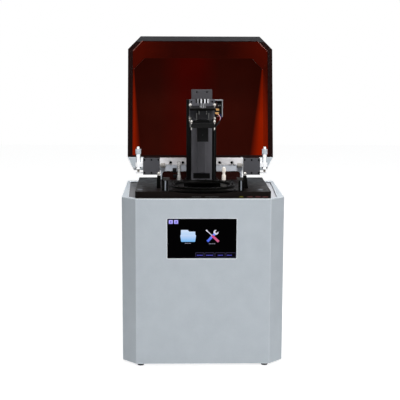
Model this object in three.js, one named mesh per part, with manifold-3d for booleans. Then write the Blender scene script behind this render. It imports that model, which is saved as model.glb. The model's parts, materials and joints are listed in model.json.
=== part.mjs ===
// Desktop resin printer: a sheet-metal case with a touchscreen, a sunken vat over a projection window,
// a lead-screw column that carries the build head, two micrometer stages, and a tilting acrylic lid.
// Millimetres, +Z up, -Y is the front. The origin is the centre of the base plate's underside.
import * as THREE from 'three';
import { mergeVertices } from 'three/addons/utils/BufferGeometryUtils.js';
import Module from 'manifold-3d';

const wasm = await Module();
wasm.setup();

// ---- Driving dimensions -------------------------------------------------------------------------

const GAP = 0.3; // between neighbouring pieces that only rest on each other
const RAD = Math.PI / 180;

const CASE = { halfWidth: 182.5, halfDepth: 153.5, height: 378.4, chamferX: 32, chamferY: 33, sheet: 2 };
const FOOT = { radius: 8, height: 7, x: 141, y: 137.5 };
const FLANGE = { side: 16, rearSide: 8, end: 12, corner: 20, bottom: 57 }; // widths of the sheet turned in at the top and bottom
const REAR = { depth: 26, taper: 13, bottom: 10, top: 372 }; // the cover behind the case

const SCREEN = { x: -3, z: 288.75, width: 154, height: 89.7 };

const DECK = { halfWidth: 151.5, front: -139, rear: 107.5, bottom: 374.3, top: 392.5, chamfer: 5 };
const DECK_TOP = DECK.top + GAP; // where everything that stands on the deck begins

const OPTICS = { y: -53.5, cupRadius: 61, boreRadius: 57, floor: 379.5, windowRadius: 48 };
const VAT = { halfWidth: 77.5, front: -137, rear: 26.5, plate: 2, rimOuter: 76, rimInner: 64, rimTop: 398.4 };

const COLUMN = { halfWidth: 36, front: 66.5, back: 78.5, top: 585.4, screwY: 47.5 };
const MODULE = { halfWidth: 24.5, coverFront: 28.5, bottom: 414.3, top: 585.7 };

const HEAD = { halfWidth: 30, low: 542.7, high: 588.3, front: 19.5, plateLow: 568.7, plateHigh: 573.4 };
const PLATE = { halfWidth: 26.5, front: -91, back: -16, low: 530, high: 541 };
const PLATFORM = { half: 12.8, low: 497 };

const FRAME = { front: 66.5, back: 77, low: 412.5, high: 444.5, legInner: 94.5, legOuter: 98.8, outer: 136 };
const STAGE = { x: 119.4, z: 428.9, half: 20, front: 28, holeRadius: 2.4, anvil: 2.6 };
const MICROMETER = { x: 150.8, y: 36.5, tip: 415 };

const HINGE = { y: 179.7, z: 405.7, knuckle: 4.6, pin: 2, halfLength: 98, openAngle: 102.8 * RAD };
const LID = { rimLow: 379.1, rimHigh: 385, roof: 624, top: 628, wall: 4, rimWidth: 12, rimRear: 4.8 };

// ---- Shape helpers ------------------------------------------------------------------------------

function block(x, y, z) {
  const box = new THREE.BoxGeometry(x[1] - x[0], y[1] - y[0], z[1] - z[0]);
  return box.translate((x[0] + x[1]) / 2, (y[0] + y[1]) / 2, (z[0] + z[1]) / 2);
}

// A round bar along an axis letter, from low to high, through the point at.
function bar(axis, radius, low, high, at, sides = 24) {
  const geometry = new THREE.CylinderGeometry(radius, radius, high - low, sides);
  if (axis === 'x') geometry.rotateZ(Math.PI / 2);
  if (axis === 'z') geometry.rotateX(Math.PI / 2);
  const middle = (low + high) / 2;
  const place = { x: [middle, at[0], at[1]], y: [at[0], middle, at[1]], z: [at[0], at[1], middle] };
  return geometry.translate(...place[axis]);
}

// An upright prism over a plan outline of [x, y] points.
function prism(outline, low, high) {
  const shape = new THREE.Shape(outline.map(([x, y]) => new THREE.Vector2(x, y)));
  const geometry = new THREE.ExtrudeGeometry(shape, { depth: high - low, bevelEnabled: false });
  return geometry.translate(0, 0, low);
}

// A prism along +Y over an elevation outline of [x, z] points.
function slab(outline, front, back) {
  const shape = new THREE.Shape(outline.map(([x, z]) => new THREE.Vector2(x, z)));
  const geometry = new THREE.ExtrudeGeometry(shape, { depth: back - front, bevelEnabled: false });
  return geometry.rotateX(Math.PI / 2).translate(0, back, 0);
}

// A turned piece about a vertical axis, from a profile of [radius, z] points that starts and ends on
// the axis, or that closes on itself.
function turned(profile, x, y, sides = 24) {
  const points = profile.map(([radius, z]) => new THREE.Vector2(radius, z));
  return new THREE.LatheGeometry(points, sides).rotateX(Math.PI / 2).translate(x, y, 0);
}

function closedRing(profile) {
  return [...profile, profile[0]];
}

function toSolid(geometry) {
  const bare = geometry.clone();
  bare.deleteAttribute('normal');
  bare.deleteAttribute('uv');
  const merged = mergeVertices(bare, 1e-4);
  return new wasm.Manifold(new wasm.Mesh({
    numProp: 3,
    vertProperties: new Float32Array(merged.attributes.position.array),
    triVerts: new Uint32Array(merged.index.array),
  }));
}

function toGeometry(solid) {
  const mesh = solid.getMesh();
  const geometry = new THREE.BufferGeometry();
  geometry.setAttribute('position', new THREE.BufferAttribute(mesh.vertProperties, 3));
  geometry.setIndex(new THREE.BufferAttribute(mesh.triVerts, 1));
  geometry.computeVertexNormals();
  return geometry;
}

function join(...pieces) {
  return toGeometry(pieces.map(toSolid).reduce((sum, next) => sum.add(next)));
}

function cut(body, ...tools) {
  return toGeometry(tools.map(toSolid).reduce((rest, tool) => rest.subtract(tool), toSolid(body)));
}

// The case outline in plan, drawn in by an inset, with chamfered front corners.
function caseOutline(inset) {
  const x = CASE.halfWidth - inset;
  const y = CASE.halfDepth - inset;
  const shift = inset * (Math.SQRT2 - 1); // keeps a chamfer's sheet as thick as the walls
  const cornerX = CASE.halfWidth - CASE.chamferX - shift;
  const cornerY = CASE.halfDepth - CASE.chamferY - shift;
  return [[-cornerX, -y], [cornerX, -y], [x, -cornerY], [x, y], [-x, y], [-x, -cornerY]];
}

// The trapezoid outline, in plan, that the rear cover and the lid's hinge cover share.
function rearOutline(inset) {
  const near = CASE.halfDepth + GAP;
  const far = near + REAR.depth - inset;
  const wide = CASE.halfWidth - inset;
  return [[-wide, near], [wide, near], [wide - REAR.taper, far], [-wide + REAR.taper, far]];
}

// ---- The model and its finishes -----------------------------------------------------------------

const printer = new THREE.Group();

function finish(color, roughness, metalness) {
  return new THREE.MeshStandardMaterial({ color, roughness, metalness });
}

const silverPaint = () => finish(0xb4bdc5, 0.45, 0.5);
const brightMetal = () => finish(0xd0d6dc, 0.25, 0.9);
const greyMetal = () => finish(0xb4b9be, 0.4, 0.8);
const darkAnodised = () => finish(0x4b4b50, 0.5, 0.6);
const blackAnodised = () => finish(0x1b1c1c, 0.45, 0.5);
const blackPlastic = () => finish(0x161618, 0.5, 0.0);
const redAcrylic = () => finish(0x4a0c06, 0.15, 0.0);

function add(name, geometry, material, parent = printer) {
  const mesh = new THREE.Mesh(geometry, material);
  mesh.name = name;
  parent.add(mesh);
}

const SIDES = [['left', -1], ['right', 1]];

// A block whose x range is given from the centre outwards, on one side of the object.
function sideBlock(sign, x, y, z) {
  return block(sign > 0 ? x : [-x[1], -x[0]], y, z);
}

function mirrored(sign, outline) {
  return sign > 0 ? outline : outline.map(([x, y]) => [-x, y]).reverse();
}

// ---- Case ---------------------------------------------------------------------------------------

const FAN = { x: 95, z: 250, radius: 37.5, half: 40, front: 155.5, back: 175.5 };
const SWITCH = { x: -120, z: 70, halfWidth: 9, halfHeight: 12 };
const INLET = { x: -70, z: 70, halfWidth: 25, halfHeight: 15 };

function outerShell() {
  const { sheet, height, halfDepth } = CASE;
  const outside = prism(caseOutline(0), 0, height);
  const inside = prism(caseOutline(sheet), sheet, height - sheet);
  const frontX = CASE.halfWidth - FLANGE.side;
  const rearX = CASE.halfWidth - FLANGE.rearSide;
  const endY = halfDepth - FLANGE.end;
  const mouth = prism([
    [-frontX + FLANGE.corner, -endY], [frontX - FLANGE.corner, -endY], [frontX, -endY + FLANGE.corner],
    [rearX, endY], [-rearX, endY], [-frontX, -endY + FLANGE.corner],
  ], height - 2 * sheet, height + sheet);
  const under = CASE.halfWidth - FLANGE.bottom;
  const underY = halfDepth - FLANGE.bottom + 22;
  const floorHole = block([-under, under], [-underY, underY], [-sheet, 2 * sheet]);
  const { x, z, width, height: tall } = SCREEN;
  const window = block([x - width / 2, x + width / 2], [-halfDepth - 1, -halfDepth + 2 * sheet],
    [z - tall / 2, z + tall / 2]);
  const airway = bar('y', FAN.radius - 3, halfDepth - 2 * sheet, halfDepth + 1, [FAN.x, FAN.z]);
  return cut(outside, inside, mouth, floorHole, window, airway);
}

function rearCover() {
  const outside = prism(rearOutline(0), REAR.bottom, REAR.top);
  const inside = prism(rearOutline(CASE.sheet), REAR.bottom + CASE.sheet, REAR.top - CASE.sheet);
  const far = CASE.halfDepth + GAP + REAR.depth;
  const through = [far - 2 * CASE.sheet, far + 1];
  const holes = [
    block([-CASE.halfWidth + CASE.sheet, CASE.halfWidth - CASE.sheet],
      [CASE.halfDepth, CASE.halfDepth + 2 * GAP], [REAR.bottom + CASE.sheet, REAR.top - CASE.sheet]),
    block([SWITCH.x - SWITCH.halfWidth - 1, SWITCH.x + SWITCH.halfWidth + 1], through,
      [SWITCH.z - SWITCH.halfHeight - 1, SWITCH.z + SWITCH.halfHeight + 1]),
    block([INLET.x - INLET.halfWidth, INLET.x + INLET.halfWidth], through,
      [INLET.z - INLET.halfHeight, INLET.z + INLET.halfHeight]),
  ];
  // a grille of level slots in front of the fan, and one row of upright vents
  const slotPitch = 10;
  for (let row = -3; row <= 3; row += 1) {
    const reach = Math.sqrt((FAN.radius - 1) ** 2 - (row * slotPitch) ** 2);
    const z = FAN.z + row * slotPitch;
    holes.push(block([FAN.x - reach, FAN.x + reach], through, [z - 2.5, z + 2.5]));
  }
  for (let column = 0; column < 8; column += 1) {
    const x = -130 + column * 14;
    holes.push(block([x - 2, x + 2], through, [220, 300]));
  }
  return cut(outside, inside, ...holes);
}

// The plate drops into the bottom flange from inside and its underside is level with the case.
function basePlate() {
  const x = CASE.halfWidth - FLANGE.bottom - GAP;
  const y = CASE.halfDepth - FLANGE.bottom + 22 - GAP;
  const lap = 8;
  return join(block([-x, x], [-y, y], [0, CASE.sheet + 1]),
    block([-x - lap, x + lap], [-y - lap, y + lap], [CASE.sheet + GAP, CASE.sheet + 2.5]));
}

function foot(x, y) {
  const { radius, height } = FOOT;
  return turned([[0, -height], [radius - 1.5, -height], [radius, -height + 1.5], [radius, -GAP], [0, -GAP]],
    x, y, 20);
}

// The screen's glass fills the window and its module clips behind the front panel.
function touchscreen() {
  const { x, z, width, height } = SCREEN;
  const face = -CASE.halfDepth + 0.4;
  const behind = -CASE.halfDepth + CASE.sheet + GAP;
  const halfX = width / 2 - GAP;
  const halfZ = height / 2 - GAP;
  return join(block([x - halfX, x + halfX], [face, behind + 1], [z - halfZ, z + halfZ]),
    block([x - halfX - 6, x + halfX + 6], [behind, behind + 12], [z - halfZ - 6, z + halfZ + 6]));
}

function powerSwitch() {
  const far = CASE.halfDepth + GAP + REAR.depth;
  const { x, z, halfWidth, halfHeight } = SWITCH;
  const rocker = [[-halfHeight, 3.5], [0, 0.5], [halfHeight, 3.5], [halfHeight - 2, -9], [-halfHeight + 2, -9]];
  const geometry = prism(rocker.map(([up, out]) => [out, up]).reverse(), -halfWidth, halfWidth);
  // stood up so that its rocking axis lies along X, then pressed over to one side
  geometry.rotateY(-Math.PI / 2).rotateX(Math.PI / 2).rotateX(-10 * RAD);
  return geometry.translate(x, far, z);
}

function fanFrame() {
  const { x, z, radius, half, front, back } = FAN;
  const hub = 13;
  const struts = [0, 1].map((turn) => {
    const arm = block([-radius - 1, radius + 1], [front, front + 2], [-2, 2]);
    return arm.rotateY(turn * Math.PI / 2 + Math.PI / 4).translate(x, 0, z);
  });
  const body = cut(block([x - half, x + half], [front, back], [z - half, z + half]),
    bar('y', radius, front - 1, back + 1, [x, z], 32));
  return join(body, ...struts, bar('y', hub, front, front + 3, [x, z]));
}

function fanRotor() {
  const { x, z, radius, front, back } = FAN;
  const blades = 7;
  const pieces = [bar('y', 14, front + 4, back - 1.5, [x, z])];
  for (let index = 0; index < blades; index += 1) {
    const blade = block([12, radius - 1.5], [-0.9, 0.9], [-7, 7]);
    blade.rotateX(38 * RAD).rotateY(index * 2 * Math.PI / blades);
    pieces.push(blade.translate(x, (front + back) / 2 + 1, z));
  }
  return join(...pieces);
}

add('outer_shell', outerShell(), silverPaint());
add('rear_cover', rearCover(), silverPaint());
add('base_plate', basePlate(), greyMetal());
for (const [side, sign] of SIDES) {
  add(`foot_front_${side}`, foot(sign * FOOT.x, -FOOT.y), blackPlastic());
  add(`foot_rear_${side}`, foot(sign * FOOT.x, FOOT.y), blackPlastic());
}
add('touchscreen', touchscreen(), finish(0x08090b, 0.1, 0.0));
add('power_switch', powerSwitch(), blackPlastic());
add('fan_frame', fanFrame(), blackPlastic());
add('fan_rotor', fanRotor(), blackPlastic());

// ---- Electronics and optics inside the case -----------------------------------------------------

function powerSupply() {
  const body = block([-160, -70], [0, 110], [6, 48]);
  const slots = [0, 1, 2, 3, 4, 5].map((row) => block([-150, -80], [14 + row * 16, 20 + row * 16], [44, 50]));
  return cut(body, ...slots);
}

function mainboard() {
  const pieces = [block([70, 160], [-20, 110], [14, 16])];
  for (const x of [76, 154]) {
    for (const y of [-14, 104]) pieces.push(bar('z', 3, 6, 15, [x, y], 12));
  }
  pieces.push(block([90, 120], [20, 50], [15, 26]), block([130, 152], [0, 60], [15, 22]),
    block([82, 150], [80, 92], [15, 28]));
  return join(...pieces);
}

function projector() {
  const body = block([-55, 55], [-125, 15], [40, 130]);
  const stand = block([-65, 65], [-110, 0], [6, 10]);
  const legs = [[-50, -105], [50, -105], [-50, -5], [50, -5]].map(([x, y]) => bar('z', 5, 8, 45, [x, y], 12));
  const fins = [0, 1, 2, 3, 4, 5].map((row) => block([-56, -40], [-110 + row * 20, -102 + row * 20], [60, 110]));
  return cut(join(body, stand, ...legs), ...fins);
}

function projectorLens() {
  return turned([[0, 130.3], [30, 130.3], [30, 150], [26, 150], [26, 196], [29, 196], [29, 206], [22, 206],
    [0, 200]], 0, OPTICS.y, 32);
}

add('power_supply', powerSupply(), brightMetal());
add('mainboard', mainboard(), finish(0x1f5a34, 0.5, 0.0));
add('projector', projector(), darkAnodised());
add('projector_lens', projectorLens(), finish(0x101014, 0.2, 0.2));

// ---- Deck and vat -------------------------------------------------------------------------------

const SCREW_HOLE = 11.5; // clears the coupling sleeve of the lead screw

// The tray closes the case mouth below the flange and shows as a gutter round the deck.
function topTray() {
  const plate = prism(caseOutline(CASE.sheet + GAP), DECK.bottom - GAP - 2.5, DECK.bottom - GAP);
  return cut(plate, bar('z', OPTICS.windowRadius, 370, 376, [0, OPTICS.y], 32),
    bar('z', SCREW_HOLE, 370, 376, [0, COLUMN.screwY], 20));
}

function deckPlate() {
  const { halfWidth, front, rear, bottom, top, chamfer } = DECK;
  const notchInner = 40;
  const notchOuter = 94;
  const notchFront = 65;
  const plate = prism([
    [-halfWidth + chamfer, front], [halfWidth - chamfer, front], [halfWidth, front + chamfer],
    [halfWidth, rear], [notchOuter, rear], [notchOuter, notchFront], [notchInner, notchFront],
    [notchInner, rear], [-notchInner, rear], [-notchInner, notchFront], [-notchOuter, notchFront],
    [-notchOuter, rear], [-halfWidth, rear], [-halfWidth, front + chamfer],
  ], bottom, top);
  // the shallow finger dip along the front edge is a slice of a large circle
  const dipRadius = 520;
  const dip = bar('y', dipRadius, front - 1, front + 9, [0, top + dipRadius - 5.4], 160);
  return cut(plate, dip,
    bar('z', OPTICS.cupRadius + 1.2, OPTICS.floor - GAP, top + 1, [0, OPTICS.y], 40),
    bar('z', OPTICS.windowRadius - 8, bottom - 1, top, [0, OPTICS.y], 32),
    bar('z', OPTICS.windowRadius + GAP, bottom + 1, OPTICS.floor, [0, OPTICS.y], 32),
    bar('z', SCREW_HOLE, bottom - 1, top + 1, [0, COLUMN.screwY], 20));
}

function projectionWindow() {
  return bar('z', OPTICS.windowRadius, DECK.bottom + 1 + GAP, OPTICS.floor - 1, [0, OPTICS.y], 32);
}

// A square flange with a round cup under it and a raised bolting rim above.
function vatBody() {
  const { halfWidth, front, rear, plate, rimOuter, rimInner, rimTop } = VAT;
  const low = DECK_TOP;
  const high = low + plate;
  const { y, cupRadius, boreRadius, floor } = OPTICS;
  const flange = cut(block([-halfWidth, halfWidth], [front, rear], [low, high]),
    bar('z', boreRadius + 1, low - 1, high + 1, [0, y], 40));
  const ring = turned(closedRing([
    [boreRadius, floor + 2.9], [cupRadius, floor + 2.9], [cupRadius, high - 0.5], [rimOuter, high - 0.5],
    [rimOuter, rimTop - 0.8], [rimOuter - 0.8, rimTop], [rimInner, rimTop], [rimInner - 2, high],
    [boreRadius, high],
  ]), 0, y, 48);
  return join(flange, ring);
}

function vatFilm() {
  return bar('z', OPTICS.cupRadius, OPTICS.floor + 2.2, OPTICS.floor + 2.6, [0, OPTICS.y], 40);
}

function filmClampRing() {
  const { cupRadius, boreRadius, floor } = OPTICS;
  return turned(closedRing([[boreRadius, floor + 0.1], [cupRadius, floor + 0.1], [cupRadius, floor + 1.9],
    [boreRadius, floor + 1.9]]), 0, OPTICS.y, 40);
}

add('top_tray', topTray(), finish(0x626262, 0.6, 0.4));
add('deck_plate', deckPlate(), blackAnodised());
add('projection_window', projectionWindow(), finish(0x9aa6b0, 0.05, 0.0));
add('vat_body', vatBody(), blackAnodised());
add('vat_film', vatFilm(), finish(0xc8ccd0, 0.1, 0.0));
add('film_clamp_ring', filmClampRing(), greyMetal());

// ---- Vat posts and deck fittings ----------------------------------------------------------------

const POST = { inner: 78.6, outer: 89, front: -138, back: -128, top: 416.9 };
const JAW = { inner: 75.3, outer: 88.6, low: 417.4, high: 423.4, pivotX: 80, pivotY: -133 };
const BALL = { left: 100.1, right: 96.1, y: -83.5, z: 426, radius: 3.8, bracketTop: 421.3 };
const BRACKET_FOOT = { left: 4.5, right: 7.5 }; // how far the foot reaches out from the ball's centre
const TAP = { x: -54, y: 57, knobZ: 416, knobRadius: 5.8, knob: [-69.4, -59.8] };
const THUMB = { x: 54.5, y: 57 };

// A grooved post with a taller thin fin behind it, clear of the jaw's swing.
function vatPost(sign) {
  const { inner, outer, front, back, top } = POST;
  const post = cut(sideBlock(sign, [inner, outer], [front, back], [DECK_TOP, top]),
    sideBlock(sign, [inner + 3.9, outer - 2.9], [front - 1, front + 5], [DECK_TOP + 2, top + 1]));
  const fin = sideBlock(sign, [outer + 0.2, outer + 3], [back + 0.2, back + 9], [DECK_TOP, top + 10]);
  const foot = sideBlock(sign, [outer - 4, outer + 3], [back - 1, back + 9], [DECK_TOP, DECK_TOP + 4]);
  return join(post, fin, foot);
}

function clampJaw(sign) {
  const { inner, outer, low, high } = JAW;
  return sideBlock(sign, [inner, outer], [POST.front, POST.back], [low, high]);
}

function screwBracket(side, sign) {
  const x = BALL[side];
  const inner = x - 4.5;
  const outline = [[inner, DECK_TOP], [x + BRACKET_FOOT[side], DECK_TOP], [x + 3.6, BALL.bracketTop],
    [inner, BALL.bracketTop]];
  return slab(mirrored(sign, outline), BALL.y - 4.5, BALL.y + 4.5);
}

function ballScrew(side, sign) {
  const { y, z, radius, bracketTop } = BALL;
  const profile = [[0, bracketTop + GAP], [2.6, bracketTop + GAP]];
  const steps = 8;
  for (let step = 0; step < steps; step += 1) {
    const angle = (-55 + step * 145 / steps) * RAD;
    profile.push([radius * Math.cos(angle), z + radius * Math.sin(angle)]);
  }
  profile.push([0, z + radius]);
  return turned(profile, sign * BALL[side], y, 16);
}

function fillFitting() {
  const low = DECK_TOP;
  const post = turned([[0, low], [5, low], [5, low + 12], [3.6, low + 13], [3.6, low + 33], [4.6, low + 34],
    [4.6, low + 43], [2.6, low + 45.7], [0, low + 45.7]], TAP.x, TAP.y, 20);
  return join(post, bar('x', 2.4, TAP.x - 5.4, TAP.x, [TAP.y, TAP.knobZ], 12));
}

function fittingKnob() {
  return bar('x', TAP.knobRadius, ...TAP.knob, [TAP.y, TAP.knobZ], 14);
}

function thumbScrew() {
  const low = DECK_TOP;
  return turned([[0, low], [4.8, low], [4.8, low + 12], [3.2, low + 14], [3.2, low + 18], [4.6, low + 20],
    [4.6, low + 28], [3, low + 31], [0, low + 31]], THUMB.x, THUMB.y, 16);
}

for (const [side, sign] of SIDES) {
  add(`vat_post_${side}`, vatPost(sign), blackAnodised());
  add(`clamp_jaw_${side}`, clampJaw(sign), greyMetal());
  add(`screw_bracket_${side}`, screwBracket(side, sign), blackAnodised());
  add(`ball_screw_${side}`, ballScrew(side, sign), brightMetal());
}
add('fill_fitting', fillFitting(), brightMetal());
add('fitting_knob', fittingKnob(), blackPlastic());
add('thumb_screw', thumbScrew(), brightMetal());

// ---- Column and linear module -------------------------------------------------------------------

const SCREW = { radius: 4, sleeve: 9.5, sleeveTop: 398, top: 597 };

function columnPlate() {
  return block([-COLUMN.halfWidth, COLUMN.halfWidth], [COLUMN.front, COLUMN.back], [DECK_TOP, COLUMN.top]);
}

// The U-shaped rail with its bottom bearing block.
function zRail() {
  const { halfWidth, coverFront, bottom, top } = MODULE;
  const half = halfWidth - 0.5;
  const back = COLUMN.front - GAP;
  const channel = cut(block([-half, half], [44, back], [bottom, top]),
    block([-half + 6, half - 6], [43, back - 5.5], [bottom - 1, top + 1]));
  const foot = cut(block([-halfWidth, halfWidth], [coverFront + 1, back], [DECK_TOP, bottom + 0.1]),
    bar('z', SCREW.sleeve + 1, DECK_TOP - 1, bottom + 1, [0, COLUMN.screwY], 20),
    block([-19.8, 19.8], [coverFront, coverFront + 3], [399.3, 412.5]));
  return join(channel, foot);
}

// The cover stands in front of the screw and leaves a slot on each side for the carriage.
function columnCover() {
  const { halfWidth, coverFront, bottom, top } = MODULE;
  const skin = 2.2;
  const rib = 0.8;
  const face = coverFront + rib;
  const outline = [
    [-halfWidth, face], [-10.5, face], [-9.5, coverFront], [9.5, coverFront], [10.5, face], [halfWidth, face],
    [halfWidth, 37.5], [halfWidth - skin, 37.5], [halfWidth - skin, face + skin],
    [-halfWidth + skin, face + skin], [-halfWidth + skin, 37.5], [-halfWidth, 37.5],
  ];
  return prism(outline, bottom + GAP, top - GAP);
}

function columnTopBlock() {
  const { halfWidth, coverFront, top } = MODULE;
  const body = block([-halfWidth, halfWidth], [coverFront + 1, COLUMN.front - GAP], [top + GAP, 610]);
  const holes = [-12, 12].map((x) => bar('y', 2.2, coverFront, coverFront + 7, [x, 604.9], 12));
  return cut(body, ...holes, bar('z', SCREW.radius + 0.6, 580, 600, [0, COLUMN.screwY], 16));
}

function zMotor() {
  const half = 21;
  const top = DECK.bottom - GAP - 2.5 - GAP;
  const body = prism([[-half + 4, -half], [half - 4, -half], [half, -half + 4], [half, half - 4],
    [half - 4, half], [-half + 4, half], [-half, half - 4], [-half, -half + 4]], top - 40, top);
  return join(body.translate(0, COLUMN.screwY, 0), bar('z', 2.5, top - 1, top + 14, [0, COLUMN.screwY], 12));
}

// The screw and the coupling sleeve that joins it to the motor shaft turn as one.
function leadScrew() {
  const low = 376;
  return turned([[0, low + 11], [2.9, low + 11], [2.9, low], [SCREW.sleeve, low],
    [SCREW.sleeve, SCREW.sleeveTop], [SCREW.radius, SCREW.sleeveTop], [SCREW.radius, SCREW.top], [0, SCREW.top]],
  0, COLUMN.screwY, 20);
}

function limitSwitchBracket() {
  return join(block([36.6, 49.8], [48, 50], [546, 587]), block([47.8, 49.8], [34, 49], [546, 587]),
    block([25.4, 49.8], [34, 49], [585, 587]));
}

add('column_plate', columnPlate(), blackAnodised());
add('z_rail', zRail(), blackAnodised());
add('column_cover', columnCover(), darkAnodised());
add('column_top_block', columnTopBlock(), finish(0x555658, 0.5, 0.6));
add('z_motor', zMotor(), darkAnodised());
add('lead_screw', leadScrew(), brightMetal());
add('limit_switch_bracket', limitSwitchBracket(), brightMetal());

// ---- Build head ---------------------------------------------------------------------------------

// The carriage runs inside the rail and reaches round both edges of the cover to a front plate.
function carriage() {
  const slotTop = 583;
  const { halfWidth, low, high, front } = HEAD;
  const shoulder = [38.2, 43.2];
  const body = join(
    block([-17, 17], [shoulder[0], 60], [low, slotTop]),
    block([-halfWidth, halfWidth], shoulder, [low, slotTop]),
    block([-halfWidth, -25.2], [front, shoulder[1]], [low, slotTop]),
    block([25.2, halfWidth], [front, shoulder[1]], [low, slotTop]),
    block([-halfWidth, halfWidth], [front, 27.5], [low, high]),
  );
  return cut(body, bar('z', SCREW.radius + 0.5, low - 1, high + 1, [0, COLUMN.screwY], 20));
}

// A spine bolted to the carriage and the plate that overhangs the vat.
function armBracket() {
  const spine = block([-11, 11], [HEAD.front - 8, HEAD.front - GAP], [548, HEAD.plateHigh]);
  const plate = block([-29.5, 29.5], [-83.5, HEAD.front - GAP], [HEAD.plateLow, HEAD.plateHigh]);
  const rib = slab([[-3, 556], [3, 556], [3, HEAD.plateLow + 1], [-3, HEAD.plateLow + 1]], -20, HEAD.front - 7);
  return cut(join(spine, plate, rib), bar('z', 4.5, 560, 580, [0, OPTICS.y], 16));
}

// A fluted knob on a stepped neck, with its clamping stud through the arm.
function lockKnob() {
  const flutes = 16;
  const outline = [];
  for (let index = 0; index < flutes * 2; index += 1) {
    const radius = index % 2 ? 15.8 : 17;
    const angle = index * Math.PI / flutes;
    outline.push([radius * Math.cos(angle), radius * Math.sin(angle)]);
  }
  const head = prism(outline, 584.3, 594).translate(0, OPTICS.y, 0);
  return join(head, bar('z', 8.5, HEAD.plateHigh + GAP, 585, [0, OPTICS.y], 20),
    bar('z', 3.8, HEAD.plateLow - 0.8, HEAD.plateHigh + 1, [0, OPTICS.y], 16));
}

function pivotBlock() {
  const half = 10.5;
  return block([-half, half], [OPTICS.y - half, OPTICS.y + half], [547.4, 567]);
}

function levellingPlate() {
  const { halfWidth, front, back, low, high } = PLATE;
  const corner = 4;
  const plate = prism([[-halfWidth + corner, front], [halfWidth - corner, front], [halfWidth, front + corner],
    [halfWidth, back - corner], [halfWidth - corner, back], [-halfWidth + corner, back],
    [-halfWidth, back - corner], [-halfWidth, front + corner]], low, high);
  return join(plate, block([-15, 15], [OPTICS.y - 15, OPTICS.y + 15], [high - 0.5, 546.4]));
}

function buildPlatform() {
  const { half, low } = PLATFORM;
  return block([-half, half], [OPTICS.y - half, OPTICS.y + half], [low, PLATE.low - GAP]);
}

add('carriage', carriage(), darkAnodised());
add('arm_bracket', armBracket(), blackAnodised());
add('lock_knob', lockKnob(), brightMetal());
add('pivot_block', pivotBlock(), blackAnodised());
add('levelling_plate', levellingPlate(), blackAnodised());
add('build_platform', buildPlatform(), darkAnodised());

// ---- Stage frames and micrometer stages ---------------------------------------------------------

// A cross beam from the column, on a leg with a rounded inner corner, that runs on behind the stage.
function stageFrame(sign) {
  const { front, back, low, high, legInner, legOuter, outer } = FRAME;
  const inner = COLUMN.halfWidth + GAP;
  const round = 8;
  const outline = [[inner, low]];
  const steps = 5;
  for (let step = 0; step <= steps; step += 1) {
    const angle = step * Math.PI / 2 / steps;
    outline.push([legInner - round + round * Math.sin(angle), low - round + round * Math.cos(angle)]);
  }
  outline.push([legInner, DECK_TOP], [legOuter, DECK_TOP], [legOuter, low + 2], [outer, low + 2],
    [outer, high], [inner, high]);
  const beam = slab(mirrored(sign, outline), front, back);
  const recess = sideBlock(sign, [inner - 1, legOuter + 1], [front - 1, front + 1.2], [low - 20, 428]);
  const bores = [44.5, 74].map((x) => bar('y', 4.1, front - 1, front + 8, [sign * x, 433], 20));
  return cut(beam, recess, ...bores);
}

// The fixed half of the stage with the lug that holds the micrometer.
function stageBase(sign) {
  const { x, z, half, front } = STAGE;
  const rear = FRAME.front - GAP;
  const outer = x + half;
  const top = z + half - 0.6;
  const lug = [428, 437];
  const { x: micX, y: micY } = MICROMETER;
  const body = join(
    sideBlock(sign, [x - half + 0.5, outer - 0.5], [front + 11, rear], [z - half + 0.6, top]),
    sideBlock(sign, [outer - 2, 145], [front + 11.5, front + 22], [lug[0], top - 1]),
    sideBlock(sign, [outer + 1, micX], [micY - 5, front + 17], lug),
    bar('z', 7, ...lug, [sign * micX, micY], 24),
  );
  return cut(body, bar('z', 4.6, lug[0] - 1, lug[1] + 1, [sign * micX, micY], 20));
}

// The moving half: a square plate with screw holes and an anvil arm under the micrometer.
function stageTable(sign) {
  const { x, z, half, front } = STAGE;
  const plate = sideBlock(sign, [x - half, x + half], [front, front + 5], [z - half, z + half]);
  const slide = sideBlock(sign, [x - half + 2, x + half - 2], [front + 4, front + 10.5], [z - half + 1, z + half - 1]);
  const anvilTop = MICROMETER.tip - 0.6;
  const anvilZ = [anvilTop - STAGE.anvil, anvilTop];
  const anvil = sideBlock(sign, [x + half - 4, 156.5], [front + 6, front + 10.5], anvilZ);
  const holes = [];
  for (const across of [-16.5, 0, 16.5]) {
    for (const up of [-15.5, 15.5]) {
      holes.push(bar('y', STAGE.holeRadius, front - 1, front + 4.2, [sign * x + across, z + up], 12));
    }
  }
  return cut(join(plate, slide, anvil), ...holes);
}

function micrometerBarrel(sign) {
  const inner = 3.1;
  return turned(closedRing([[inner, 424], [6.2, 424], [6.2, 427.7], [4.3, 427.7], [4.3, 437.3], [4.6, 437.3],
    [4.6, 461.8], [inner, 461.8]]), sign * MICROMETER.x, MICROMETER.y, 20);
}

function micrometerThimble(sign) {
  return turned([[0, MICROMETER.tip], [2.8, MICROMETER.tip], [2.8, 469], [5, 469], [5, 446.5], [5.9, 446.5],
    [5.9, 456.7], [7.4, 457.4], [7.4, 470], [4.7, 471], [4.7, 475], [0, 475.7]],
  sign * MICROMETER.x, MICROMETER.y, 20);
}

for (const [side, sign] of SIDES) {
  add(`stage_frame_${side}`, stageFrame(sign), greyMetal());
  add(`stage_base_${side}`, stageBase(sign), brightMetal());
  add(`stage_table_${side}`, stageTable(sign), darkAnodised());
  add(`micrometer_barrel_${side}`, micrometerBarrel(sign), brightMetal());
  add(`micrometer_thimble_${side}`, micrometerThimble(sign), brightMetal());
}

// ---- Hinge --------------------------------------------------------------------------------------

const KNUCKLES = { base: [[-98, -66], [-16, 16], [66, 98]], lid: [[-65.5, -16.5], [16.5, 65.5]] };
const LEAF = [HINGE.y - 0.4, HINGE.y + 2];

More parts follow.
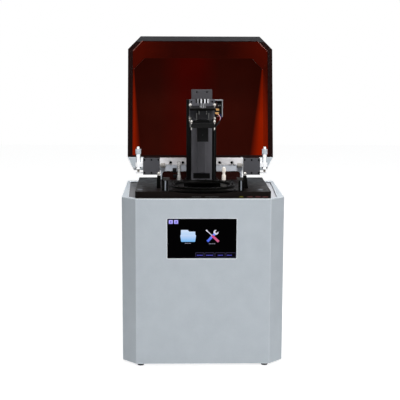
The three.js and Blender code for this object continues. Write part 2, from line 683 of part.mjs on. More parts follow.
function knuckle([low, high], webZ) {
  return join(bar('x', HINGE.knuckle, low, high, [HINGE.y, HINGE.z], 16), block([low, high], LEAF, webZ));
}

function pinBore() {
  return bar('x', HINGE.pin + GAP, -200, 200, [HINGE.y, HINGE.z], 16);
}

// The fixed riser stands on the rear cover and carries the lower half of a long hinge.
function hingeRiser() {
  const top = 400;
  const body = block([-100, 100], [156.5, HINGE.y - 0.2], [REAR.top + GAP, top]);
  const leaf = block([-HINGE.halfLength, HINGE.halfLength], LEAF, [REAR.top + 4, top + 0.4]);
  const pieces = KNUCKLES.base.map((span) => knuckle(span, [top, HINGE.z]));
  return cut(join(body, leaf, ...pieces), pinBore());
}

function hingePin() {
  return bar('x', HINGE.pin, -HINGE.halfLength - 2, HINGE.halfLength + 2, [HINGE.y, HINGE.z], 16);
}

add('hinge_riser', hingeRiser(), finish(0x240f0d, 0.2, 0.1));
add('hinge_pin', hingePin(), brightMetal());

// ---- Lid: drawn closed, then swung open about the hinge -----------------------------------------

function lidShell() {
  const outside = prism(caseOutline(0), LID.rimHigh + GAP, LID.top);
  return cut(outside, prism(caseOutline(LID.wall), LID.rimHigh - 1, LID.roof));
}

// The frame under the lid's walls, narrower along the hinge.
function lidRimFrame() {
  const opening = caseOutline(LID.rimWidth).map(([x, y]) => [x, y > 0 ? CASE.halfDepth - LID.rimRear : y]);
  return cut(prism(caseOutline(0), LID.rimLow, LID.rimHigh),
    prism(opening, LID.rimLow - 1, LID.rimHigh + 1));
}

// The cover on the lid's back is notched round the riser and carries the upper half of the hinge.
function lidHingeCover() {
  const notchTop = 411;
  const high = 450;
  const outside = prism(rearOutline(0), LID.rimLow + 0.4, high);
  const notch = block([-101.5, 101.5], [150, 190], [LID.rimLow - 1, notchTop]);
  const leaf = block([-65.5, 65.5], LEAF, [notchTop, 440]);
  const pieces = KNUCKLES.lid.map((span) => knuckle(span, [HINGE.z, notchTop + 1]));
  return cut(join(cut(outside, notch), leaf, ...pieces), pinBore());
}

const hingeAxis = new THREE.Group();
hingeAxis.position.set(0, HINGE.y, HINGE.z);
hingeAxis.rotation.x = -HINGE.openAngle;
printer.add(hingeAxis);
const closedLid = new THREE.Group();
closedLid.position.set(0, -HINGE.y, -HINGE.z);
hingeAxis.add(closedLid);

add('lid_shell', lidShell(), redAcrylic(), closedLid);
add('lid_rim_frame', lidRimFrame(), blackPlastic(), closedLid);
add('lid_hinge_cover', lidHingeCover(), silverPaint(), closedLid);

export default printer;
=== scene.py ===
import json
import math
from collections import namedtuple

import bmesh
import bpy
from mathutils import Matrix, Vector


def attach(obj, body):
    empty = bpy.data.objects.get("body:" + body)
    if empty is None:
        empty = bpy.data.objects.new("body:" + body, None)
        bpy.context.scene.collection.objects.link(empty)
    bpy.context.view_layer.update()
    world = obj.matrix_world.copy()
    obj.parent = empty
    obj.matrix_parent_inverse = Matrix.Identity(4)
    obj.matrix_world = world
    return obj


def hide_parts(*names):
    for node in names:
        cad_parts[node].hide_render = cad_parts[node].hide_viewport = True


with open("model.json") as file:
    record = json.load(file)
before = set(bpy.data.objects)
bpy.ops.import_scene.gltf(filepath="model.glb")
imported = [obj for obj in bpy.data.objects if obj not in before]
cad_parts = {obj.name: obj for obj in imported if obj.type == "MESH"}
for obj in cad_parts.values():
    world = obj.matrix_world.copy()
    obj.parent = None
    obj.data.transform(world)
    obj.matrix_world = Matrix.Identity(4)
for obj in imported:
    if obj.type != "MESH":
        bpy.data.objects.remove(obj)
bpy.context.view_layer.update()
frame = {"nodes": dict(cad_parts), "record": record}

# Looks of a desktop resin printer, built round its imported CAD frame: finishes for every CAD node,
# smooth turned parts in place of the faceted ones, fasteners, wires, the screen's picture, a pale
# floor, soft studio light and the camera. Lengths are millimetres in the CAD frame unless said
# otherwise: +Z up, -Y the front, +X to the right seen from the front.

# ---- Driving dimensions -----------------------------------------------------------------------

MM = 0.001
SIDES = (("left", -1), ("right", 1))

# the case, the deck and its fittings
SCREEN = {"x": -3, "z": 288.75, "glass": -153.1}
FOOT = {"x": 141, "y": 137.5, "radius": 8, "height": 7}
DECK = {
    "front": -139, "top": 392.5, "marks_z": 380.9, "red_marks_x": (104, 122, 138.6),
    "pads": ((-142, -105), (130, -109)),
    "slots": ((-120.7, 19.4), (-119.1, -92.1), (119.4, 15.0), (118.4, -96.3), (140.0, -102.7)),
}
SEAT = 392.8  # the height where fittings stand, a hair above the deck's top
OPTICS_Y = -53.5  # depth of the upright axis through lens, vat, platform and lock knob
VAT = {
    "half": 77.5, "front": -137, "rear": 26.5, "plate": 2, "corner": 5, "cup": 61, "bore": 57,
    "low": 382.4, "outer": 76, "inner": 64, "rim": 398.4, "bolt_circle": 70, "bolts": 24,
}

# what stands on the deck: vat posts, ball screws, fill fitting and thumb screw
POST = {"rod_x": 84.3, "rod_y": -136.1, "rod_radius": 1.7, "top": 416.9}
BALL = {"left": 100.1, "right": 96.1, "y": -83.5, "z": 426, "radius": 3.8, "base": 421.6, "stem": 2.6}
TAP = {"x": -54, "y": 57, "low": SEAT, "hexagon": 6.4, "knob_z": 416, "knob": (-69.4, -59.8),
       "knob_radius": 5.8, "collar_x": -63.5, "collar_z": 402}
THUMB = {"x": 54.5, "y": 57, "low": SEAT}

# the drive screw, the projector's lens and the build head with its knob, studs, pins and screws
SCREW = {"y": 47.5, "radius": 4, "core": 3.3, "pitch": 5, "sleeve": 9.5, "low": 376, "sleeve_top": 398,
         "top": 597}
LENS = {"low": 130.3, "top": 206, "flange": 30, "flange_top": 150, "barrel": 26, "barrel_top": 195,
        "grip": (160, 190), "ring": 29, "mouth": 23.5, "glass": 22, "glass_z": 201, "dome": 4}
# the streak turn sets where the knob's painted reflection streaks fall round its axis
KNOB = {"low": 573.7, "neck": 8.5, "head_low": 584.3, "head_high": 594, "radius": 17, "flutes": 12,
        "reflection_turn": math.radians(17)}
LEVEL = {"rear_x": 28, "rear_y": -23.5, "front_x": 26, "front_y": -88, "arm_top": 573.4,
         "plate_low": 530, "plate_high": 541, "arm_ball_z": 578, "rear_ball_z": 547.3,
         "rear_tip_z": 527, "front_ball_z": 545}
STUD = {"x": 13.4, "y": -59.5, "low": 546.4, "top": 562, "radius": 1.3}
PIN = {"x": 8.4, "y": -64.8, "low": 559, "top": 566.8, "radius": 0.9}
ARM_SCREWS = {"x": 7, "y": -3.5}
CARRIAGE_SCREWS = {"x": 24.5, "y": 19.6, "z": 583.2}
DIMPLE = {"y": -66.3, "z": 512, "radius": 1.1}

# the micrometer heads, the stages, their beams, the limit switch's bracket and the column's top
MIC = {"x": 150.8, "y": 36.5, "tip": 415, "bore": 3.1, "nut_low": 421.6, "barrel_low": 424,
       "barrel_top": 461.8, "sleeve": 4.5, "scale_low": 438.5, "skirt": 5.4, "skirt_low": 446.3,
       "head": 6.6, "head_low": 457.6, "head_top": 470.2, "cap_top": 475.7, "grub_x": 5.2, "grub_z": 425.6}
STAGE = {"x": 119.4, "z": 428.9, "front": 28, "top": 447.9, "screw_x": 16.5, "screw_z": 15.5}
BEAM = {"front": 66.5, "bores": (44.5, 74), "bore_z": 433, "lock_x": (86.5, 98.6), "lock_y": 58.5,
        "lock_z": 428}
BRACKET = {"inner": 36.6, "outer": 47.8, "back": 48, "low": 546, "top": 585}
LIMIT = {"front": 38, "switch_x": (38.2, 46), "switch_z": (569.5, 577.5), "screws_x": (39.8, 44.4),
         "screw_z": 573.5, "lever": (33.6, 41.5, 578.4), "plug_x": (31.8, 41), "plug_front": 36.5,
         "plugs_z": (563.4, 555.0), "gap_x": (33, 41), "gap_z": (557.6, 560.8), "lead": 0.75, "cable": 1.9}
# knots of the limit switch's three leads and of the cable that they gather into
LEADS = {
    "red": ((37.5, 38.5, 552.6), (40.6, 36.6, 549.6), (43.6, 36.4, 544.2), (42.2, 38.4, 537.4)),
    "white": ((39.3, 38.8, 552.6), (42.2, 37.2, 549.2), (44.6, 37.0, 544.0), (42.6, 39.4, 537.2)),
    "blue": ((44.4, 41.0, 552.8), (46.6, 39.6, 549.0), (46.4, 39.6, 544.0), (43.0, 40.2, 537.0)),
}
CABLE = ((42.6, 39.4, 538.2), (41.0, 40.4, 533.4), (37.2, 42.6, 528.4), (33.0, 46.0, 523.0),
         (30.6, 52.0, 512.0), (30.2, 60.0, 490.0), (30.2, 62.4, 460.0), (30.2, 62.4, SEAT))
TOP_BLOCK = {"front": 29.5, "screw_x": 12, "screw_z": 604.9}

# the rear cover and its power inlet, and the lid drawn closed
REAR = {"face": 179.8, "screw_x": 162, "screw_z": (24, 191, 358)}
INLET = {"x": -70, "z": 70, "half_width": 25, "half_height": 15, "depth": 13,
         "pins": ((-6, -1), (0, 3), (6, -1))}
LID = {"hinge_y": 179.7, "hinge_z": 405.7, "open": math.radians(102.8), "half": 178.5, "roof": 624,
       "chamfer_y": -118, "rear_y": 149.5, "rim_z": 385}
LID_SEAMS = (
    # from (x, y), to (x, y), height, radius of the highlight bead
    ((148.8, -149.2), (178.2, -118.8), 623.7, 0.6),
    ((145.5, -141.4), (170.4, -115.5), 379.4, 0.5),
)

CAMERA = {"place": (-56.0, -2356.3, 714.3), "yaw": 1.26, "pitch": 8.73, "roll": 0.2, "lens": 90.7}

# ---- Shapes: every shape is a pair (points in mm, faces) ----------------------------------------


def box(x, y, z):
    """A block between the two limits given for each axis."""
    points = [(a, b, c) for a in x for b in y for c in z]
    faces = [(0, 1, 3, 2), (4, 6, 7, 5), (0, 4, 5, 1), (2, 3, 7, 6), (0, 2, 6, 4), (1, 5, 7, 3)]
    return points, faces


def ring_skin(rings, sides):
    """The faces between rings of points that follow one another in a list of points."""
    faces = []
    for base in range(0, (rings - 1) * sides, sides):
        for side in range(sides):
            after = (side + 1) % sides
            faces.append((base + side, base + after, base + sides + after, base + sides + side))
    return faces


def ring_ends(rings, sides):
    """The two faces that close a stack of rings at its ends."""
    return [tuple(range(sides))[::-1], tuple(range((rings - 1) * sides, rings * sides))]


def prism(outline, low, high):
    """An upright prism over a plan outline of (x, y) points."""
    count = len(outline)
    points = [(x, y, low) for x, y in outline] + [(x, y, high) for x, y in outline]
    return points, ring_ends(2, count) + ring_skin(2, count)


def slab(outline, front, back):
    """A prism along Y over an elevation outline of (x, z) points."""
    points, faces = prism(outline, front, back)
    return [(x, y, z) for x, z, y in points], faces


def revolve(profile, sides=48, flute=None, closed=False):
    """A piece turned about Z from (radius, z) pairs. flute is (count, depth, low, high): straight
    flutes pressed into the skin between two heights."""
    points = []
    rings = []
    for radius, z in profile:
        if radius < 1e-6:
            rings.append([len(points)] * sides)
            points.append((0, 0, z))
            continue
        ring = []
        for side in range(sides):
            angle = 2 * math.pi * side / sides
            reach = radius
            if flute and flute[2] <= z <= flute[3]:
                reach -= flute[1] * (0.5 - 0.5 * math.cos(flute[0] * angle))
            ring.append(len(points))
            points.append((reach * math.cos(angle), reach * math.sin(angle), z))
        rings.append(ring)
    if closed:
        rings.append(rings[0])
    faces = []
    for low, high in zip(rings, rings[1:]):
        for side in range(sides):
            after = (side + 1) % sides
            corners = [low[side], low[after], high[after], high[side]]
            face = tuple(dict.fromkeys(corners))
            if len(face) > 2:
                faces.append(face)
    return points, faces


def threaded_rod(core, crest, pitch, low, high, sides=20, rings_per_turn=8):
    """A rod about Z with a helical thread between its core and crest radii."""
    points = []
    count = int((high - low) / pitch * rings_per_turn)
    for ring in range(count + 1):
        z = low + (high - low) * ring / count
        for side in range(sides):
            angle = 2 * math.pi * side / sides
            phase = (z / pitch - side / sides) % 1
            radius = core + (crest - core) * min(1.0, 3 * abs(phase - 0.5))
            points.append((radius * math.cos(angle), radius * math.sin(angle), z))
    return points, ring_skin(count + 1, sides) + ring_ends(count + 1, sides)


def smooth_path(knots, steps=8):
    """Points along a Catmull-Rom curve through the knots."""
    knots = [Vector(knot) for knot in knots]
    ends = [2 * knots[0] - knots[1]] + knots + [2 * knots[-1] - knots[-2]]
    path = []
    for a, b, c, d in zip(ends, ends[1:], ends[2:], ends[3:]):
        for step in range(steps):
            t = step / steps
            path.append(0.5 * (2 * b + (c - a) * t + (2 * a - 5 * b + 4 * c - d) * t * t
                               + (3 * b - a - 3 * c + d) * t ** 3))
    return path + [knots[-1]]


def tube(knots, radius, sides=12):
    """A round tube along a smooth path through the knots."""
    path = smooth_path(knots)
    points = []
    normal = (path[1] - path[0]).orthogonal().normalized()
    for here, place in enumerate(path):
        ahead = path[min(here + 1, len(path) - 1)] - path[max(here - 1, 0)]
        ahead.normalize()
        normal = (normal - ahead * normal.dot(ahead)).normalized()
        across = ahead.cross(normal)
        for side in range(sides):
            angle = 2 * math.pi * side / sides
            points.append(tuple(place + (normal * math.cos(angle) + across * math.sin(angle)) * radius))
    return points, ring_skin(len(path), sides) + ring_ends(len(path), sides)


def moved(shape, offset=(0, 0, 0), turn=None):
    """The shape turned about the origin and then shifted."""
    points, faces = shape
    turn = turn or Matrix.Identity(3)
    return [tuple(turn @ Vector(p) + Vector(offset)) for p in points], faces


def joined(*shapes):
    """Several shapes as one."""
    points = []
    faces = []
    for some_points, some_faces in shapes:
        base = len(points)
        points.extend(some_points)
        faces.extend(tuple(base + index for index in face) for face in some_faces)
    return points, faces


def rounded(half_x, half_y, radius, steps=6):
    """A rectangle outline about the origin with rounded corners."""
    outline = []
    for quarter in range(4):
        corner = math.radians(90 * quarter)
        sign_x = 1 if quarter in (0, 3) else -1
        sign_y = 1 if quarter in (0, 1) else -1
        for step in range(steps + 1):
            angle = corner + math.radians(90) * step / steps
            outline.append((sign_x * (half_x - radius) + radius * math.cos(angle),
                            sign_y * (half_y - radius) + radius * math.sin(angle)))
    return outline


def at(outline, x, y):
    """The outline shifted in its own plane."""
    return [(x + a, y + b) for a, b in outline]


ALONG_X = Matrix.Rotation(math.radians(90), 3, "Y")
TO_FRONT = Matrix.Rotation(math.radians(90), 3, "X")
TO_REAR = Matrix.Rotation(math.radians(-90), 3, "X")
SCREW_SIDES = 24


def button_screw(radius):
    """A button-head socket screw that stands on z = 0, with its hexagon socket."""
    height = 0.62 * radius
    land = 0.48 * radius
    rise = 0.15 * height
    steps = 6
    skin = [(radius, 0), (radius, rise)]
    for step in range(1, steps):
        angle = math.radians(90) * step / steps
        skin.append((land + (radius - land) * math.cos(angle), rise + (height - rise) * math.sin(angle)))
    return joined(revolve(skin + [(land, height)], SCREW_SIDES), hex_socket(land, height, radius))


def hex_socket(radius, top, scale):
    """The flat land and the hexagon hole that close the top of a screw head."""
    sides = SCREW_SIDES
    floor = top - 0.45 * scale
    flat = 0.8 * radius * math.cos(math.radians(30))
    points = []
    for is_hexagon, z in ((False, top), (True, top), (True, floor)):
        for side in range(sides):
            angle = 2 * math.pi * side / sides
            within = (angle % math.radians(60)) - math.radians(30)
            reach = flat / math.cos(within) if is_hexagon else radius
            points.append((reach * math.cos(angle), reach * math.sin(angle), z))
    return points, ring_skin(3, sides) + ring_ends(3, sides)[1:]


def cap_screw(radius, height):
    """A cylinder-head socket screw that stands on z = 0."""
    edge = 0.12 * radius
    land = 0.62 * radius
    skin = [(radius, 0), (radius, height - edge), (radius - edge, height), (land, height)]
    return joined(revolve(skin, SCREW_SIDES), hex_socket(land, height, radius))


def ball_head(radius, neck_low, neck_radius):
    """A ball about the origin on a thin stem that reaches down to neck_low."""
    profile = [(0, neck_low), (neck_radius, neck_low), (neck_radius, -0.85 * radius)]
    start = math.radians(-58)
    steps = 14
    for step in range(steps + 1):
        angle = start + (math.radians(90) - start) * step / steps
        profile.append((radius * math.cos(angle), radius * math.sin(angle)))
    profile[-1] = (0, radius)
    return revolve(profile, 32)


# ---- Materials ----------------------------------------------------------------------------------


class Graph:
    """A material being wired: add() makes a node, and the other methods are common small steps."""

    def __init__(self, name):
        self.material = bpy.data.materials.new(name)
        self.material.use_nodes = True
        self.tree = self.material.node_tree
        self.tree.nodes.clear()
        self.output = self.add("ShaderNodeOutputMaterial")
        self.place = self.add("ShaderNodeTexCoord").outputs["Object"]

    def add(self, kind, inputs=None, **settings):
        node = self.tree.nodes.new(kind)
        for name, value in settings.items():
            setattr(node, name, value)
        for name, value in (inputs or {}).items():
            self.feed(node.inputs[name], value)
        return node

    def feed(self, socket, value):
        if isinstance(value, bpy.types.NodeSocket):
            self.tree.links.new(value, socket)
        elif isinstance(value, tuple) and len(value) == 3 and socket.type == "RGBA":
            socket.default_value = (*value, 1.0)
        else:
            socket.default_value = value

    def noise(self, size, detail=3.0, stretch=(1, 1, 1)):
        """Noise whose features are about size millimetres across."""
        scaled = self.add("ShaderNodeMapping", {"Vector": self.place, "Scale": stretch})
        node = self.add("ShaderNodeTexNoise", {
            "Vector": scaled.outputs["Vector"], "Scale": 1 / (size * MM), "Detail": detail})
        return node.outputs["Fac"]

    def spread(self, value, low, high, start=0.0, end=1.0):
        """Takes start..end to low..high."""
        node = self.add("ShaderNodeMapRange", {
            "Value": value, "From Min": start, "From Max": end, "To Min": low, "To Max": high})
        return node.outputs["Result"]

    def math(self, operation, a, b=0.0):
        node = self.add("ShaderNodeMath", operation=operation)
        self.feed(node.inputs[0], a)
        self.feed(node.inputs[1], b)
        return node.outputs[0]

    def times(self, a, b):
        """The product of two values."""
        return self.math("MULTIPLY", a, b)

    def mix(self, factor, a, b):
        """Colour a at factor 0 and colour b at factor 1."""
        node = self.add("ShaderNodeMix", data_type="RGBA")
        self.feed(node.inputs[0], factor)
        self.feed(node.inputs[6], a)
        self.feed(node.inputs[7], b)
        return node.outputs[2]

    def scaled(self, color, factor):
        """The colour made brighter or darker by a factor."""
        node = self.add("ShaderNodeVectorMath", operation="SCALE")
        self.feed(node.inputs[0], color)
        self.feed(node.inputs["Scale"], factor)
        return node.outputs[0]

    def bump(self, height, depth, under=None):
        """A bump whose full swing is depth millimetres."""
        node = self.add("ShaderNodeBump", {"Height": height, "Distance": depth * MM, "Strength": 1.0})
        if under:
            self.feed(node.inputs["Normal"], under)
        return node.outputs["Normal"]

    def edges(self, width):
        """1 on sharp outer edges and 0 on open faces."""
        soft = self.add("ShaderNodeBevel", {"Radius": width * MM}, samples=4)
        flat = self.add("ShaderNodeNewGeometry")
        dot = self.add("ShaderNodeVectorMath", operation="DOT_PRODUCT")
        self.feed(dot.inputs[0], soft.outputs["Normal"])
        self.feed(dot.inputs[1], flat.outputs["Normal"])
        return self.spread(dot.outputs["Value"], 1.0, 0.0, 0.75, 0.97)

    def finish(self, shader):
        self.tree.links.new(shader.outputs[0], self.output.inputs["Surface"])
        return self.material

    def principled(self, inputs):
        """The finished material, with one Principled shader."""
        return self.finish(self.add("ShaderNodeBsdfPrincipled", inputs))


# a look's emission in its own colour is a painted highlight, though no part is a lamp
Look = namedtuple("Look", "color rough metal grain grain_depth drift wear wear_color streak coat gloss glow",
                  defaults=(0.4, 0.0, 0.6, 0.01, 0.12, 0.0, (0.5, 0.5, 0.5), (1, 1, 1), 0.0, 0.5, 0.0))


def between(graph, value, low, high):
    """1 where the value lies between the two limits, and 0 elsewhere."""
    above = graph.math("GREATER_THAN", value, low)
    return graph.times(above, graph.math("LESS_THAN", value, high))


def zone(**spans):
    """A factor that is 1 where |x|, y and z, or x itself for "right", lie inside the given spans."""
    def inside(graph):
        axes = graph.add("ShaderNodeSeparateXYZ", {"Vector": graph.place})
        share = 1.0
        for axis, (low, high) in spans.items():
            value = graph.math("DIVIDE", axes.outputs["X" if axis == "right" else axis.upper()], MM)
            if axis == "x":
                value = graph.math("ABSOLUTE", value)
            share = graph.times(between(graph, value, low, high), share)
        return share
    return inside


def solid_finish(name, look, other=None, inside=None):
    """A Principled finish whose colour drifts slowly, whose roughness is smudged, whose skin has a
    fine grain, and whose outer edges are rubbed bright. A zone can take a second look."""
    graph = Graph(name)
    other = other or look
    share = inside(graph) if inside else 0.0
    cloud = graph.spread(graph.noise(60, 4), 1 - look.drift, 1 + look.drift, 0.3, 0.7)
    speckle = graph.noise(look.grain, 2, look.streak)
    shade = graph.times(cloud, graph.spread(speckle, 1.0, 1 - look.drift, 0.35, 0.75))
    color = graph.scaled(graph.mix(share, look.color, other.color), shade)
    smudge = graph.spread(graph.noise(17, 5), 0.82, 1.2, 0.3, 0.7)
    rough = graph.times(graph.spread(share, look.rough, other.rough), smudge)
    if look.wear > 0:
        patchy = graph.spread(graph.noise(4, 4), 0.2, 1.0, 0.35, 0.65)
        rubbed = graph.times(graph.edges(0.7), graph.times(patchy, look.wear))
        color = graph.mix(rubbed, color, look.wear_color)
    return graph.principled({
        "Base Color": color, "Roughness": rough, "Metallic": graph.spread(share, look.metal, other.metal),
        "Specular IOR Level": look.gloss, "Coat Weight": look.coat, "Coat Roughness": 0.1,
        # the emission in the look's own colour is a painted highlight
        "Emission Color": look.color, "Emission Strength": graph.spread(share, look.glow, other.glow),
        "Normal": graph.bump(speckle, look.grain_depth)})


def turned_metal(name, bright, dark, metal=0.3, highlight_glow=0.0):
    """Bright metal turned on a lathe: fine rings, a painted highlight that glows down the middle, and a
    painted dark reflection on the edges that curve away from the eye."""
    graph = Graph(name)
    facing = graph.add("ShaderNodeLayerWeight", {"Blend": 0.5}).outputs["Facing"]
    rings = graph.noise(0.6, 2, (0.05, 0.05, 1))
    smudge = graph.noise(9, 4)
    # painted dark reflection where the surface turns away from the eye
    rolled = graph.spread(facing, 0.0, 1.0, 0.22, 0.75)
    color = graph.scaled(graph.mix(rolled, bright, dark), graph.spread(rings, 0.94, 1.04, 0.3, 0.7))
    return graph.principled({
        "Base Color": color, "Roughness": graph.spread(smudge, 0.22, 0.34, 0.3, 0.7), "Metallic": metal,
        # painted highlight emitted down the middle
        "Emission Color": bright, "Emission Strength": graph.spread(rolled, highlight_glow, 0.0, 0.0, 0.6),
        "Normal": graph.bump(rings, 0.006)})


def knob_metal():
    """Polished metal with painted reflections round the knob's axis: bright upright streaks that also emit
    light, between dark ones.
    """
    graph = Graph("knob_metal")
    axes = graph.add("ShaderNodeSeparateXYZ", {"Vector": graph.place})
    depth = graph.math("SUBTRACT", axes.outputs["Y"], OPTICS_Y * MM)
    around = graph.math("ARCTAN2", axes.outputs["X"], graph.times(depth, -1.0))
    turn = graph.times(graph.math("SUBTRACT", around, KNOB["reflection_turn"]), KNOB["flutes"])
    # painted reflection: bright and dark streaks by angle round the axis, the bright ones emitting light
    wave = graph.spread(graph.math("COSINE", turn), 0.0, 1.0, 0.05, 0.9)
    facing = graph.add("ShaderNodeLayerWeight", {"Blend": 0.5}).outputs["Facing"]
    streak = graph.times(wave, graph.spread(facing, 1.0, 0.15, 0.15, 0.75))
    color = graph.mix(streak, srgb(26, 26, 28), srgb(232, 234, 238))
    smudge = graph.noise(5, 4)
    return graph.principled({
        "Base Color": color, "Roughness": graph.spread(smudge, 0.2, 0.32, 0.3, 0.7), "Metallic": 0.4,
        "Emission Color": color, "Emission Strength": graph.times(streak, 0.5),
        "Normal": graph.bump(smudge, 0.004)})


BRUSHED_X = (0.04, 1, 1)
BRUSHED_Z = (1, 1, 0.04)
# the colours for the bends paint a highlight on them, and shade paints shade under the front flange
PAINT = {
    "dull": (0.535, 0.590, 0.640), "bright": (0.570, 0.625, 0.675), "flake": (0.66, 0.70, 0.74),
    "bend_highlight": (0.86, 0.89, 0.92), "bend_light": (0.95, 0.97, 1.0), "shade": (0.05, 0.035, 0.03),
}


def case_paint():
    """Silver paint with metal flakes and a faint orange-peel skin. Its bends carry a painted highlight that
    also emits light, and the strip just under the front flange carries painted shade."""
    graph = Graph("case_paint")
    flake = graph.noise(0.9, 3)
    peel = graph.noise(2.6, 2)
    mottle = graph.noise(38, 5)
    color = graph.mix(graph.spread(mottle, 0, 1, 0.32, 0.68), PAINT["dull"], PAINT["bright"])
    color = graph.mix(graph.spread(flake, 0, 0.5, 0.45, 0.8), color, PAINT["flake"])
    rough = graph.spread(graph.noise(25, 4), 0.40, 0.50, 0.3, 0.7)
    # painted highlight on the case's bends: a lighter colour and a little emitted light
    bend_highlight = graph.times(graph.edges(4.0), 0.95)
    color = graph.mix(bend_highlight, color, PAINT["bend_highlight"])
    # painted shade on the strip just under the front flange
    shaded = zone(x=(0, 150), y=(-148, -138), z=(377, 380))(graph)
    color = graph.mix(graph.times(shaded, 0.85), color, PAINT["shade"])
    skin = graph.bump(peel, 0.015, graph.bump(flake, 0.006))
    return graph.principled({
        "Base Color": color, "Roughness": rough, "Metallic": 0.35, "Coat Weight": 0.15,
        "Coat Roughness": 0.3, "Normal": skin, "Emission Color": PAINT["bend_light"],
        "Emission Strength": graph.times(bend_highlight, 0.3)})


def display_glass():
    """The screen's black glass, with faint smears."""
    graph = Graph("display")
    smears = graph.noise(20, 5, (1, 1, 0.5))
    rough = graph.spread(smears, 0.05, 0.16, 0.4, 0.75)
    cells = graph.noise(0.3, 1)
    color = graph.mix(cells, (0.0003, 0.0003, 0.0004), (0.0006, 0.0005, 0.0006))
    return graph.principled({
        "Base Color": color, "Roughness": rough, "Specular IOR Level": 0.01,
        "Normal": graph.bump(smears, 0.002)})


def clear_material(name, tint, rough, transparency):
    """Clear glass or film: part straight through, part glossy skin with faint smears."""
    graph = Graph(name)
    smears = graph.noise(14, 4)
    skin = graph.add("ShaderNodeBsdfPrincipled", {
        "Base Color": graph.mix(smears, tint, tuple(0.9 * c for c in tint)),
        "Roughness": graph.spread(smears, rough, rough * 2.5, 0.35, 0.7),
        "Normal": graph.bump(smears, 0.01)})
    through = graph.add("ShaderNodeBsdfTransparent", {"Color": tint})
    both = graph.add("ShaderNodeMixShader", {"Fac": transparency})
    graph.tree.links.new(skin.outputs[0], both.inputs[1])
    graph.tree.links.new(through.outputs[0], both.inputs[2])
    return graph.finish(both)


def circuit_board():
    """Green solder mask over faint square copper tracks."""
    graph = Graph("circuit_board")
    tracks = graph.add("ShaderNodeTexBrick", {
        "Vector": graph.place, "Scale": 260.0, "Mortar Size": 0.03, "Color1": (0.012, 0.075, 0.035),
        "Color2": (0.010, 0.060, 0.030), "Mortar": (0.05, 0.14, 0.05)})
    color = graph.mix(graph.spread(graph.noise(9, 3), 0, 0.4), tracks.outputs["Color"], (0.01, 0.04, 0.02))
    return graph.principled({
        "Base Color": color, "Roughness": graph.spread(graph.noise(6, 3), 0.25, 0.45),
        "Coat Weight": 0.4, "Normal": graph.bump(tracks.outputs["Fac"], 0.03)})


# the painted fan of light beside each wall: width at the front and at the hinge, and share that fades
FAN = {"right": (3, 42, 0.65), "left": (1, 24, 0.85)}
# body is the sheet's own colour and edge a painted highlight; every other colour is emitted painted light
ACRYLIC = {
    "body": (0.0120, 0.0012, 0.0005), "edge": (0.20, 0.07, 0.05), "glow": (0.238, 0.0103, 0.0),
    "painted_dim_glow": (0.0260, 0.0024, 0.0010), "roof": (0.0210, 0.0022, 0.0010), "roof_red": (0.0400, 0.0012, 0.0004),
    "front": (0.0185, 0.0020, 0.0010), "front_ends": (0.0520, 0.0030, 0.0009),
}


def red_acrylic():
    """Dark red tinted sheet that glows all over with painted light. Painted light gathers in the side
    walls and fans out over the roof beside them, wider towards the hinge. The front wall's painted
    light grows towards its ends, and the cut edges carry a painted highlight."""
    graph = Graph("red_acrylic")
    closed = graph.add("ShaderNodeVectorRotate", {
        "Vector": graph.place, "Center": (0, LID["hinge_y"] * MM, LID["hinge_z"] * MM),
        "Axis": (1, 0, 0), "Angle": LID["open"]})
    axes = graph.add("ShaderNodeSeparateXYZ", {"Vector": closed.outputs["Vector"]})
    x, y, z = (graph.math("DIVIDE", axes.outputs[name], MM) for name in "XYZ")
    reach = graph.math("ABSOLUTE", x)
    # the lid's length from its front chamfer to the hinge, as a share
    along = graph.spread(y, 0.0, 1.0, LID["chamfer_y"], LID["rear_y"])
    is_roof = between(graph, z, LID["roof"] - 1, LID["roof"] + 1)
    is_wall = between(graph, reach, LID["half"] - 0.5, LID["half"] + 1)
    is_front = graph.times(graph.math("LESS_THAN", y, LID["chamfer_y"] - 0.5),
                           graph.math("LESS_THAN", z, LID["roof"] - 1))
    inset = graph.math("SUBTRACT", LID["half"], reach)
    # painted light: a fan over the roof beside each wall, and the side walls themselves
    fan = graph.math("MAXIMUM",
                     fan_glow(graph, inset, along, "right", graph.math("GREATER_THAN", x, 0.0)),
                     fan_glow(graph, inset, along, "left", graph.math("LESS_THAN", x, 0.0)))
    fan = graph.times(fan, graph.spread(along, 0.55, 1.0, 0.0, 0.5))
    wall = graph.times(is_wall, graph.spread(along, 0.0, 0.30, -0.05, 0.85))
    wall = graph.times(wall, graph.spread(z, 0.14, 0.80, LID["rim_z"], LID["roof"]))
    glow = graph.math("ADD", graph.times(fan, is_roof), wall)
    # three broad bands of painted light over the roof: dull, redder left of the middle, dull again
    redder = graph.times(graph.spread(x, 0.0, 1.0, -110, -40), graph.spread(x, 1.0, 0.0, 0, 60))
    roof = graph.mix(redder, ACRYLIC["roof"], ACRYLIC["roof_red"])
    to_ends = graph.spread(reach, 0.0, 1.0, 70, 150)
    front = graph.mix(to_ends, ACRYLIC["front"], ACRYLIC["front_ends"])
    painted_dim_glow = graph.mix(is_roof, graph.mix(is_front, ACRYLIC["painted_dim_glow"], front), roof)
    cloud = graph.spread(graph.noise(120, 2), 0.9, 1.1, 0.35, 0.65)
    body = graph.scaled(ACRYLIC["body"], cloud)
    # painted highlight on the cut edges
    edge = graph.times(graph.edges(1.4), 0.6)
    color = graph.mix(edge, body, ACRYLIC["edge"])
    light = graph.scaled(graph.mix(glow, painted_dim_glow, ACRYLIC["glow"]), cloud)
    rough = graph.spread(graph.noise(30, 5), 0.12, 0.22, 0.35, 0.7)
    return graph.principled({
        "Base Color": color, "Roughness": rough, "Specular IOR Level": 0.08,
        "Emission Color": light, "Emission Strength": 0.92,
        "Normal": graph.bump(graph.noise(70, 1), 0.05)})


